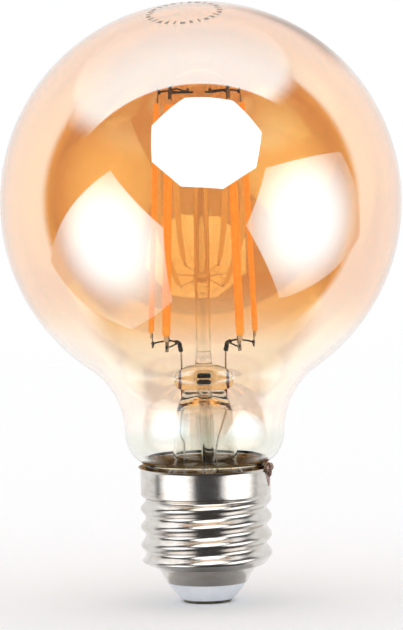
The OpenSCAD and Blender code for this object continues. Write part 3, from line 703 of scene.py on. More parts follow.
@dataclass
class ScrewCap:
    """The rolled shell with its helical thread, and what closes its two ends, in millimetres."""

    shell_z: float = 4.0
    cone_z: float = 7.2
    collar_z: float = 21.85
    rim_z: float = RIM_Z
    wall: float = 0.35
    collar_r: float = 13.0
    flare: float = 0.4
    lip_h: float = 0.6
    crest_r: float = 13.1
    root_r: float = 12.1
    pitch: float = 3.629
    crest_up: float = 1.7
    cone_r: float = 9.9
    tip_r: float = 8.0
    fade_h: float = 1.1
    thread_up: float = 0.3
    thread_start: float = 1.5 * math.pi
    columns: int = 216
    thread_rows: int = 132
    lip_rows: int = 6
    cement_top: float = 26.6
    cement_lump: float = 0.18
    cement_gap: float = 0.02
    joint_turn: float = -17.0

    def rolled_r(self, z: float) -> float:
        """Radius of the sheet at a height, before the thread.

        Args:
            z: The height.

        Returns:
            The radius.
        """
        if z > self.collar_z - self.fade_h:
            return mix(self.root_r, self.collar_r, smooth((z - self.collar_z + self.fade_h) / self.fade_h))
        if z < self.cone_z + self.fade_h:
            part = 1 - (z - self.cone_z) / self.fade_h
            return mix(self.cone_r, self.root_r, math.sqrt(max(0.0, 1 - part ** 2)))
        return self.root_r

    def thread_r(self, z: float, angle: float) -> float:
        """Radius of the threaded sheet.

        Args:
            z: The height.
            angle: The angle round the axis in radians.

        Returns:
            The radius.
        """
        amount = (smooth((z - self.cone_z - self.thread_up) / self.fade_h)
                  * smooth((self.collar_z - z) / self.fade_h))
        turn = TURN * (z - self.cone_z - self.crest_up) / self.pitch - (angle - self.thread_start)
        wave = 0.5 + 0.5 * math.cos(turn)
        return self.rolled_r(z) + amount * (self.crest_r - self.root_r) * wave

    def rings(self, inset: float) -> list[Ring]:
        """Rings of one face of the shell from the cone's tip to the rim.

        Args:
            inset: How far the face lies inside the outer one.

        Returns:
            The rings.
        """
        angles = [TURN * k / self.columns for k in range(self.columns)]
        cone = [(mix(self.tip_r, self.cone_r, t) - inset, mix(self.shell_z, self.cone_z, t))
                for t in (0.0, 0.25, 0.5, 0.75)]
        level = [[Vector((r * math.cos(a), r * math.sin(a), z)) for a in angles] for r, z in cone]
        for z in spread(self.cone_z, self.collar_z, self.thread_rows):
            level.append([Vector((math.cos(a) * (self.thread_r(z, a) - inset),
                                  math.sin(a) * (self.thread_r(z, a) - inset), z)) for a in angles])
        lip_z = self.rim_z - self.lip_h
        straight = [(self.collar_r - inset, z) for z in spread(self.collar_z, lip_z, self.lip_rows)[1:]]
        lip = [(self.collar_r - inset + self.flare * t ** 2, lip_z + self.lip_h * t)
               for t in spread(0, 1, self.lip_rows)[1:]]
        level += [[Vector((r * math.cos(a), r * math.sin(a), z)) for a in angles] for r, z in straight + lip]
        return level

    def build(self) -> None:
        """Makes the shell, the cement ring, the insulator, the contact and its solder."""
        walls = self.rings(0.0) + self.rings(self.wall)[::-1]
        outside = len(walls) // 2
        skin = Skin().grow(walls, lambda row: int(row >= outside - 1), looped=True)
        make_piece("rolled_shell", skin, [ROLLED_NICKEL, STAINED_NICKEL], ["screw_shell"],
                   crease=50.0)
        self.build_cement()
        self.build_foot()
        self.build_solder()

    def build_cement(self) -> None:
        """Makes the ring of cement, uneven along its upper edge."""
        lump_scale, halfway = 0.9, 0.6
        inner_r, outer_r = SKIRT_R + self.cement_gap, self.collar_r - self.wall
        rings = turned([(inner_r, SKIRT_Z), (outer_r, SKIRT_Z)], self.columns)
        for radius in (outer_r, mix(inner_r, outer_r, halfway), inner_r):
            ring = []
            for k in range(self.columns):
                a = TURN * k / self.columns
                lump = noise.noise(Vector((radius * math.cos(a), radius * math.sin(a), 0.0)) * lump_scale)
                top = self.cement_top + self.cement_lump * lump
                ring.append(Vector((radius * math.cos(a), radius * math.sin(a), top)))
            rings.append(ring)
        make_piece("cement_ring", Skin().grow(rings, looped=True), [BAKED_CEMENT],
                   ["basing_cement"])

    def build_foot(self) -> None:
        """Makes the moulded insulator and the riveted contact under it."""
        insulator = [(1.25, 0.9), (4.8, 0.9), (4.85, 0.66), (5.0, 0.6), (5.2, 0.6), (5.36, 0.68),
                     (5.46, 0.84), (7.96, 3.84), (8.0, 3.98), (7.6, 4.0), (7.6, 5.6), (6.3, 5.6), (4.2, 2.9),
                     (1.25, 2.9)]
        make_piece("insulator_cone", Skin().grow(turned(insulator), looped=True), [MOULDED_PBT],
                   ["insulator"])
        contact = [(0.5, 0.5), (1.5, 0.5), (1.56, 0.1), (1.75, 0.0), (4.4, 0.0), (4.66, 0.06), (4.8, 0.24),
                   (4.8, 0.88), (1.2, 0.9), (1.2, 2.9), (1.8, 2.92), (1.76, 3.2), (0.5, 3.2)]
        make_piece("end_contact", Skin().grow(turned(contact), looped=True), [STAMPED_BRASS],
                   ["centre_contact"])
        drop = [(0.0, 0.02), (0.5, 0.05), (1.0, 0.14), (1.34, 0.3), (1.46, 0.46), (0.55, 0.5), (0.5, 1.2),
                (0.3, 1.2), (0.3, 0.2), (0.0, 0.2)]
        make_piece("contact_solder", Skin().grow(turned(drop, 48)), [COOLED_SOLDER],
                   ["tip_solder"])

    def build_solder(self) -> None:
        """Makes the joint on the rim, with the thin splash that ran down the collar."""
        middle = math.radians(self.joint_turn)
        skin = Skin()
        # Each drop's turn from the joint's middle, height from the rim, half width and half height
        blobs = ((0.0, 0.1, 1.1, 0.8), (0.1, -0.05, 0.9, 0.7), (-0.1, -0.15, 0.8, 0.7),
                 (0.02, -1.0, 0.75, 0.85))
        for turn, up, wide, tall in blobs:
            skin.grow(self.blob(middle + turn, self.rim_z + up, wide, tall))
        skin.grow(self.splash(middle + 0.03))
        make_piece("rim_joint_solder", skin, [COOLED_SOLDER], ["rim_solder"])

    def blob(self, turn: float, z: float, wide: float, tall: float) -> list[Ring]:
        """Rings of a lumpy drop of solder sitting on the rim.

        Args:
            turn: Angle round the cap in radians.
            z: Height of its middle.
            wide: Its half width.
            tall: Its half height.

        Returns:
            The rings from its foot to its top.
        """
        rows, columns, flatness, lump, lump_scale, on_flare = 14, 28, 0.62, 0.42, 2.9, 0.7
        middle = Vector((math.cos(turn), math.sin(turn), 0.0)) * (self.collar_r + self.flare * on_flare)
        middle.z = z
        rings = []
        for polar in spread(-math.pi / 2, math.pi / 2, rows):
            ring = []
            for k in range(columns):
                a = TURN * k / columns
                way = Vector((math.cos(polar) * math.cos(a), math.cos(polar) * math.sin(a), math.sin(polar)))
                size = 1 + lump * noise.noise(way * lump_scale + middle)
                ring.append(middle + Vector((way.x * wide * flatness, way.y * wide, way.z * tall)) * size)
            rings.append(ring)
        return rings

    def splash(self, turn: float) -> list[Ring]:
        """Rings of the thin smear on the collar, thickest near the rim.

        Args:
            turn: Angle round the cap in radians.

        Returns:
            The rings from the rim down.
        """
        rows, columns, wide, taper, thick, thinning = 22, 12, 0.15, 0.09, 0.3, 0.5
        rings = []
        for t in spread(0, 1, rows):
            z = mix(self.rim_z - 0.2, self.collar_z + 1.6, t)
            width = (wide - taper * t) * (1 + 0.5 * noise.noise(Vector((t * 5, 3.0, 1.0))))
            base = self.collar_r + self.flare * smooth((z - self.rim_z + self.lip_h) / self.lip_h) ** 2
            ring = []
            for s in spread(-1, 1, columns):
                a = turn + s * width + 0.03 * noise.noise(Vector((t * 3, 0.0, 7.0)))
                lump = 0.6 + 0.4 * noise.noise(Vector((s * 2.5, t * 8, 0.0)))
                ring.append((a, base + thick * (1 - s * s) * lump * (1 - thinning * t)))
            front = [Vector((r * math.cos(a), r * math.sin(a), z)) for a, r in ring]
            sunk = base - 0.03
            back = [Vector((sunk * math.cos(a), sunk * math.sin(a), z)) for a, _ in ring[::-1]]
            rings.append(front + back)
        return rings


@dataclass
class Stem:
    """The glass stem: flare, tube, pinched press, mound, post, bead and exhaust tube, in millimetres."""

    skirt_r: float = SKIRT_R
    skirt_z: float = SKIRT_Z
    wall: float = 0.5
    low_r: float = 6.5
    top_r: float = 5.6
    flat_z: float = 38.0
    press_z: float = 45.4
    press_half: float = 3.7
    press_r: float = 2.2
    press_h: float = 2.0
    neck_half: float = 2.6
    neck_r: float = 1.7
    mound_z: float = 50.2
    mound_r: float = 1.9
    bore_top: float = 41.4
    squareness: float = 0.75
    press_rows: int = 24
    hole_half: float = 0.85
    hole_r: float = 0.65
    hole_y: tuple[float, float] = (-3.2, -1.68)
    lip_r: float = 0.95
    lip_thick: float = 0.2
    lip_sunk: float = 0.06
    disc_r: float = 0.63
    disc: tuple[tuple[float, float], ...] = ((-2.06, 0.94), (-2.12, 1.0), (-2.2, 0.98), (-2.15, 0.5))
    post_r: float = 1.5
    post_top: float = 99.6
    seam: float = 0.02
    bead_r: float = BEAD_R
    bead_half: float = 1.8
    bead_z: float = BEAD_Z
    pipe_foot: float = 18.0
    lean: float = 2.4

    def flare(self, inset: float) -> list[tuple[float, float]]:
        """Outline of the trumpet and the tube above it.

        Args:
            inset: How far it is moved into the wall.

        Returns:
            Radius and height of each point.
        """
        rim_r = self.skirt_r - self.wall
        curve = rim_r - self.low_r
        points = arc((rim_r, self.skirt_z + curve), curve + inset, 270, 180, 18)
        return points + [(mix(self.low_r, self.top_r, t) - inset, mix(self.skirt_z + curve, self.flat_z, t))
                         for t in (0.33, 0.66, 1.0)]

    def build(self) -> None:
        """Makes every glass piece of the stem."""
        outer = [stadium(0.0, r, z) for r, z in [(self.skirt_r - self.seam, self.skirt_z)] + self.flare(0.0)]
        low_z = self.press_z - self.press_h
        for t in spread(0, 1, 8)[1:]:
            outer.append(stadium(self.neck_half * smooth(t), mix(self.top_r, self.neck_r, smooth(t)),
                                 mix(self.flat_z, low_z, t)))
        bulge_row = len(outer) - 1
        for a in spread(-math.pi / 2, math.pi / 2, self.press_rows)[1:]:
            bulge = math.cos(a) ** self.squareness if abs(a) < math.pi / 2 - EPSILON else 0.0
            crown = smooth(max(0.0, math.sin(a)))
            half = mix(mix(self.neck_half, self.press_half, bulge), 0.6 * self.press_half * bulge, crown)
            radius = mix(mix(self.neck_r, self.press_r, bulge), mix(self.mound_r, self.press_r, bulge),
                         crown)
            outer.append(stadium(half, radius, self.press_z + self.press_h * math.sin(a)))
        for t in spread(0, 1, 12)[1:]:
            outer.append(stadium(0.0, mix(self.mound_r, self.post_r + self.seam, math.sqrt(t)),
                                 mix(self.press_z + self.press_h, self.mound_z, t)))
        outer.append(stadium(0.0, 0.0, self.mound_z))
        inner = [stadium(0.0, r, z) for r, z in [(self.skirt_r - self.wall, self.skirt_z - self.wall)]
                 + self.flare(self.wall)]
        for t in spread(0, 1, 6)[1:]:
            inner.append(stadium(0.3 * self.neck_half * smooth(t), mix(self.top_r - self.wall, 0.05, t ** 2),
                                 mix(self.flat_z, self.bore_top, t)))
        inner.append(stadium(0.0, 0.0, self.bore_top))
        pinched = range(len(inner) + bulge_row, len(inner) + bulge_row + self.press_rows)
        skin = Skin().grow(inner[::-1] + outer, lambda row: int(row in pinched))
        piece = make_piece("pinched_stem", skin, [STEM_GLASS, PINCHED_GLASS], ["stem_flare"],
                           crease=60.0)
        self.cut_exhaust(piece)
        self.build_lip()
        self.build_rods()

    def cut_exhaust(self, piece: bpy.types.Object) -> None:
        """Sinks the mouth of the exhaust hole into the front of the press, as a shallow pit.

        Args:
            piece: The stem that gets the pit.
        """
        cutter = bpy.data.meshes.new("hole_shape")
        builder = bmesh.new()
        mouth = stadium(self.hole_half, self.hole_r, 0.0, 32)
        rings = [[Vector((p.x, y, p.y + self.press_z)) for p in mouth] for y in self.hole_y]
        loops = [[builder.verts.new(p * MM) for p in ring] for ring in rings]
        for k in range(len(loops[0])):
            j = (k + 1) % len(loops[0])
            builder.faces.new([loops[0][k], loops[0][j], loops[1][j], loops[1][k]])
        builder.faces.new(loops[0])
        builder.faces.new(loops[1])
        bmesh.ops.recalc_face_normals(builder, faces=builder.faces)
        builder.to_mesh(cutter)
        builder.free()
        tool = bpy.data.objects.new("hole_tool", cutter)
        bpy.context.scene.collection.objects.link(tool)
        cut = piece.modifiers.new("exhaust_hole", "BOOLEAN")
        cut.operation = "DIFFERENCE"
        cut.object = tool
        bpy.context.view_layer.update()
        seen = piece.evaluated_get(bpy.context.evaluated_depsgraph_get())
        mesh = bpy.data.meshes.new_from_object(seen)
        piece.modifiers.clear()
        piece.data = mesh
        bpy.data.objects.remove(tool)
        for face in mesh.polygons:
            face.use_smooth = True
        mesh.set_sharp_from_angle(angle=math.radians(50.0))

    def build_lip(self) -> None:
        """Makes the lip round the pit, and the dark disc of painted shade across it that stands for the shaded inside
        of the hole.
        """
        path = [Vector((p.x, -self.press_r + self.lip_sunk, p.y + self.press_z))
                for p in stadium(self.lip_r, self.lip_r, 0.0, 40)]
        count, sides, rings = len(path), 12, []
        for i, point in enumerate(path):
            ahead = (path[(i + 1) % count] - path[i - 1]).normalized()
            side = Vector((0.0, 1.0, 0.0))
            other = ahead.cross(side)
            rings.append([point + (side * math.cos(a) + other * math.sin(a)) * self.lip_thick
                          for a in (TURN * k / sides for k in range(sides))])
        skin = Skin().grow(rings, looped=True)
        # Painted shade: a dark disc put across the pit, where the hole's inside is only in shade
        disc = []
        for depth, share in self.disc:
            ring = stadium(self.hole_half * share, self.disc_r * share, 0.0, 40)
            disc.append([Vector((p.x, depth, p.y + self.press_z)) for p in ring])
        skin.grow(disc, 1)
        make_piece("exhaust_lip", skin, [STEM_GLASS, PAINTED_HOLE_SHADE])

    def build_rods(self) -> None:
        """Makes the post, the bead at its head and the leaning exhaust tube."""
        sides, ripple, ripple_rate, fullness = 48, 0.02, 0.9, 0.6
        post = [(0.0, self.mound_z - self.seam), (self.post_r, self.mound_z - self.seam)]
        post += [(self.post_r * (1 + ripple * math.sin(z * ripple_rate)), z)
                 for z in spread(self.mound_z, self.post_top, 60)]
        post += arc((0.0, self.post_top), self.post_r, 0, 90, 8)[1:]
        make_piece("glass_post", Skin().grow(turned(post, sides)), [STEM_GLASS],
                   ["stem_post"])
        bead = arc((0.0, 0.0), 1.0, -90, 90, 24)
        shaped = [(self.bead_r * abs(r) ** fullness, self.bead_z + self.bead_half * h) for r, h in bead]
        make_piece("wire_bead", Skin().grow(turned(shaped, sides)), [STEM_GLASS],
                   ["post_bead"])
        length = self.press_z - self.pipe_foot
        tube = [(0.8, 1.1), (1.4, 1.1), (1.4, length - 3), (1.1, length - 1.6), (0.5, length), (0.1, length),
                (0.1, length - 1), (0.8, length - 3.2)]
        skin = Skin().grow(turned(tube, 40), looped=True)
        place = (Matrix.Translation((0.0, 0.0, self.press_z))
                 @ Matrix.Rotation(math.radians(180 - self.lean), 4, "Y"))
        make_piece("exhaust_pipe", skin.moved(place), [STEM_GLASS], ["exhaust_tube"])


@dataclass
class FilamentCage:
    """Six phosphor strips in two groups, with the wires that carry them, in millimetres."""

    foot_r: float = 10.5
    top_r: float = 8.4
    length: float = 52.0
    tab: float = 3.0
    width: float = 1.8
    thick: float = 1.1
    foot_z: float = 51.0
    group_step: float = 45.0
    weld_up: float = 0.9
    arm_d: float = 0.34
    lead_x: float = LEAD_X
    seal_top: float = SEAL_TOP
    bead_r: float = BEAD_R
    bead_z: float = BEAD_Z
    dome: float = 0.5
    uneven: float = 0.05
    uneven_rate: float = 0.8
    knot_half: float = 0.42
    knot_d: tuple[float, float] = (0.2, 0.5)
    head_in: float = 1.1
    head_out: float = 1.4
    head_rise: float = 0.5
    head_step: float = 0.2
    seal_d: float = 0.36
    neck_up: float = 3.3
    stout_d: tuple[float, float] = (0.95, 0.8)
    lean: float = field(init=False)

    def __post_init__(self) -> None:
        """Works out how far the strips lean in."""
        self.lean = math.asin((self.foot_r - self.top_r) / self.length)

    def angles(self) -> list[float]:
        """Angles of the strips round the axis, in degrees."""
        return [side + k * self.group_step for side in (180.0, 0.0) for k in (-1, 0, 1)]

    def place(self, angle: float) -> Matrix:
        """The matrix that puts a strip's foot in place."""
        return (Matrix.Rotation(math.radians(angle), 4, "Z")
                @ Matrix.Translation((self.foot_r, 0.0, self.foot_z))
                @ Matrix.Rotation(-self.lean, 4, "Y"))

    def strip(self, seed: int) -> list[Ring]:
        """Rings of one moulded strip with domed ends and slightly uneven silicone.

        Args:
            seed: The strip's number, which gives it its own unevenness.

        Returns:
            The rings from its foot to its head.
        """
        half, radius = (self.width - self.thick) / 2, self.thick / 2
        low, high, dome = self.tab, self.length - self.tab, self.dome
        stations = [low + dome * (1 - math.cos(a)) for a in spread(0, math.pi / 2, 5)]
        stations += spread(low + dome, high - dome, 60)[1:-1]
        stations += [high - dome * (1 - math.cos(a)) for a in spread(math.pi / 2, 0, 5)]
        rings = []
        for z in stations:
            end = min(1.0, (z - low) / dome, (high - z) / dome)
            lump = noise.noise(Vector((seed, z * self.uneven_rate, 0.0)))
            size = math.sqrt(max(0.0, 1 - (1 - end) ** 2)) * (1 + self.uneven * lump)
            ring = [Vector((p.y * size, p.x * (0.3 + 0.7 * size), z))
                    for p in stadium(half, radius, 0.0, 28)]
            rings.append(ring)
        return rings

    def build(self) -> None:
        """Makes the strips, their upper wires and both sets of leads."""
        for i, angle in enumerate(self.angles()):
            skin = Skin().grow(self.strip(i + 1)).moved(self.place(angle))
            make_piece(f"phosphor_strip_{i + 1}", skin, [PHOSPHOR], [f"filament_{i + 1}"])
        self.build_top_wires()
        for facing in Facing:
            self.build_lead(facing)

    def weld_r(self, up: float) -> float:
        """Radius of a tab's inner face at a distance along the strip."""
        return self.foot_r - up * math.sin(self.lean) - self.knot_half

    def build_top_wires(self) -> None:
        """Makes the six wires from the bead to the strips' heads, each with a weld knot."""
        skin = Skin()
        reach = self.weld_r(self.length - self.weld_up)
        for i, angle in enumerate(self.angles()):
            way = Vector((math.cos(math.radians(angle)), math.sin(math.radians(angle)), 0.0))
            up = Vector((0.0, 0.0, 1.0))
            path = softened([way * (self.bead_r - self.head_in) + up * self.bead_z,
                             way * (self.bead_r + self.head_out) + up * self.bead_z,
                             way * (reach - self.head_out)
                             + up * (self.bead_z + self.head_rise - self.head_step * (i % 3)),
                             way * reach + up * self.bead_z], 0.8)
            skin.grow(swept(path, self.arm_d))
            skin.grow(self.knot(way * (reach - 0.1) + up * self.bead_z))
        make_piece("head_wires", skin, [FLAMED_NICKEL], ["top_wires"])

    def knot(self, middle: Vector) -> list[Ring]:
        """Rings of a small weld knot.

        Args:
            middle: Its middle.

        Returns:
            The rings from its foot to its top.
        """
        points = [middle + Vector((0.0, 0.0, z)) for z in spread(-self.knot_half, self.knot_half, 8)]
        thin, more = self.knot_d
        widths = [thin + more * math.sqrt(max(0.0, 1 - (z.z - middle.z) ** 2 / 0.18)) for z in points]
        return swept(points, widths, 12)

    def build_lead(self, facing: Facing) -> None:
        """Makes one stout lead and its three arms.

        Args:
            facing: The side that the lead stands on.
        """
        side = facing.value
        bend_z = self.foot_z + self.weld_up
        foot = Vector((side * self.lead_x, 0.0, self.seal_top))
        neck = Vector((side * (self.lead_x + 0.05), 0.0, self.seal_top + self.neck_up))
        elbow = Vector((side * (self.lead_x + 0.3), 0.0, bend_z))
        skin = Skin()
        skin.grow(swept([foot, foot.lerp(neck, 0.5), neck], self.seal_d), 1)
        stout = softened([neck, elbow - Vector((0.0, 0.0, 0.6)), elbow,
                          elbow + Vector((side * 0.9, 0.0, 0.35))], 0.6)
        skin.grow(swept(stout, [mix(*self.stout_d, i / (len(stout) - 1)) for i in range(len(stout))]), 0)
        for k in (-1, 0, 1):
            angle = math.radians((0.0 if side > 0 else 180.0) + k * self.group_step)
            way = Vector((math.cos(angle), math.sin(angle), 0.0))
            end = way * self.weld_r(self.weld_up) + Vector((0.0, 0.0, bend_z))
            along = end - elbow
            sag = Vector((0.0, 0.0, 0.35 if k == 0 else -0.1))
            path = softened([elbow, elbow + along * 0.3 + sag + Vector((0.0, 0.0, 0.2)),
                             elbow + along * 0.75 + sag, end, end - Vector((0.0, 0.0, 0.8))], 0.5)
            skin.grow(swept(path, self.arm_d), 0)
            skin.grow(self.knot(end), 0)
        make_piece(f"lead_set_{facing.name.lower()}", skin, [FLAMED_NICKEL, DRAWN_NICKEL],
                   [f"lead_{facing.name.lower()}"])


@dataclass
class SealWires:
    """The seal wires in the press and the wires that leave the stem, in millimetres."""

    lead_x: float = LEAD_X
    seal_low: float = 39.5
    seal_top: float = SEAL_TOP
    rim_z: float = RIM_Z
    skirt_z: float = SKIRT_Z
    pad_z: float = 14.05
    steps: int = 12
    seal_d: float = 0.45
    wire_d: float = 0.4

    def build(self) -> None:
        """Makes the seal wires and both outer wires."""
        skin = Skin()
        for side in (-1, 1):
            ends = [Vector((side * self.lead_x, 0.0, z))
                    for z in spread(self.seal_low, self.seal_top, self.steps)]
            widths = [self.seal_d * mix(0.6, 1.0, smooth(min(i, self.steps - i) / 2))
                      for i in range(self.steps + 1)]
            skin.grow(swept(ends, widths))
        make_piece("seal_wire_pair", skin, [BORATED_COPPER], ["seal_wires"])
        self.build_outer("outer_wire_left", [
            (-4.4, 0.0, self.seal_low), (-4.5, 0.0, self.seal_low - 1), (-5.0, 0.0, self.rim_z + 6.6),
            (-4.1, 0.0, self.rim_z + 4.6), (-4.4, -0.4, self.skirt_z), (-6.42, -3.27, self.pad_z + 3),
            (-6.42, -3.27, self.pad_z)])
        self.build_outer("outer_wire_right", [
            (4.4, 0.0, self.seal_low), (4.4, 0.0, self.seal_low - 0.8), (2.6, -2.2, self.rim_z + 6),
            (1.6, -2.4, self.rim_z), (2.2, -2.8, self.skirt_z), (5.0, -5.18, self.pad_z + 3),
            (5.0, -5.18, self.pad_z)])

    def build_outer(self, node_name: str, corners: Sequence[tuple[float, float, float]]) -> None:
        """Makes one outer wire.

        Args:
            node_name: The CAD node that it stands for.
            corners: Its corners.
        """
        path = softened([Vector(c) for c in corners], 0.7)
        make_piece(f"{node_name}_run", Skin().grow(swept(path, self.wire_d)), [TINNED_WIRE],
                   [node_name])


@dataclass
class Driver:
    """The parts inside the cap, which keep their CAD meshes and get their finishes."""

    finishes: dict[str, Finish] = field(default_factory=lambda: {
        "filament_carriers": FIRED_ALUMINA, "filament_tabs": STAMPED_TAB, "driver_sleeve": FORMED_SLEEVE,
        "driver_board": MASKED_BOARD, "bridge_rectifier": MOULDED_EPOXY, "capacitor": SHRUNK_FILM,
        "choke_core": SINTERED_FERRITE, "choke_winding": WOUND_COPPER, "driver_chip": MOULDED_EPOXY,
        "chip_parts": FIRED_CERAMIC, "fusible_resistor": DIPPED_LACQUER, "radio_board": MASKED_BOARD,
        "radio_shield": DRAWN_CAN, "antenna_wire": TINNED_WIRE, "live_wire": TINNED_WIRE,
        "neutral_wire": TINNED_WIRE})

    def build(self) -> None:
        """Dresses each node."""
        for name, finish in self.finishes.items():
            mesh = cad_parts[name].data
            if not mesh.materials:
                mesh.materials.append(None)
            for i in range(len(mesh.materials)):
                mesh.materials[i] = finish.material()
            log.info("%s: dressed in %s", name, finish.name)


# Studio -------------------------------------------------------------------------------------------


@dataclass(frozen=True)
class SoftBox:
    """A glowing sheet that faces the globe, hidden from the camera and from diffuse rays.

    Attributes:
        name: The sheet's name.
        outline: Its corners, about one unit from its middle.
        turn: Its direction from the lamp round the axis, in degrees from the camera's side.
        rise: Its direction above the level, in degrees.
        away: Its distance in millimetres.
        half: Its half size in millimetres.
        strength: How brightly its middle glows.
        edge: The share of that glow at its edge.
        fade: Shares of the half size between which the glow falls.
    """

    name: str
    outline: Profile
    turn: float
    rise: float
    away: float
    half: float
    strength: float
    edge: float
    fade: tuple[float, float] = (0.2, 1.2)

    def build(self, centre: Vector) -> None:
        """Makes the sheet.

        Args:
            centre: The point in metres that it faces.
        """
        a, e = math.radians(self.turn), math.radians(self.rise)
        way = Vector((math.sin(a) * math.cos(e), -math.cos(a) * math.cos(e), math.sin(e)))
        glow = bpy.data.materials.new(self.name)
        tree = emptied(glow)
        where = node(tree, "ShaderNodeTexCoord").outputs["Object"]
        reach = node(tree, "ShaderNodeVectorMath", {0: where}, operation="LENGTH").outputs["Value"]
        near, far = (self.half * MM * share for share in self.fade)
        fall = node(tree, "ShaderNodeMapRange", {
            "Value": reach, "From Min": near, "From Max": far,
            "To Min": self.strength, "To Max": self.strength * self.edge},
            interpolation_type="SMOOTHSTEP").outputs[0]
        light = node(tree, "ShaderNodeEmission", {"Strength": fall}).outputs[0]
        node(tree, "ShaderNodeOutputMaterial", {"Surface": light})
        mesh = bpy.data.meshes.new(self.name)
        corners = [tuple(Vector((x, y, 0.0)) * self.half * MM) for x, y in self.outline]
        mesh.from_pydata(corners, [], [tuple(range(len(corners)))])
        mesh.materials.append(glow)
        sheet = bpy.data.objects.new(self.name, mesh)
        sheet.matrix_world = (Matrix.Translation(centre + way * self.away * MM)
                              @ way.to_track_quat("Z", "Y").to_matrix().to_4x4())
        sheet.visible_camera = False
        sheet.visible_diffuse = False
        bpy.context.scene.collection.objects.link(sheet)


OCTAGON_SIDES, OCTAGON_TURN, OCTAGON_WIDE = 8, 0.36, 1.12
OCTAGON = [(OCTAGON_WIDE * math.cos(a), math.sin(a))
           for a in (TURN * (k + OCTAGON_TURN) / OCTAGON_SIDES for k in range(OCTAGON_SIDES))]
LEFT_SHEET = [(0.0, 1.0), (0.95, 0.1), (0.65, -1.25), (-0.5, -1.6), (-1.5, -0.4)]
RIGHT_SHEET = [(-0.6, 0.8), (1.0, 0.8), (1.3, -0.3), (0.0, -1.2), (-1.0, -0.1)]
SOFT_BOXES = (
    SoftBox("octagon_box", OCTAGON, turn=4.0, rise=38.5, away=700.0, half=372.0, strength=2.6, edge=1.0),
    SoftBox("left_box", LEFT_SHEET, turn=-54.0, rise=-15.0, away=620.0, half=420.0, strength=2.5, edge=0.2),
    SoftBox("right_box", RIGHT_SHEET, turn=60.0, rise=-7.0, away=620.0, half=430.0, strength=2.5, edge=0.2))


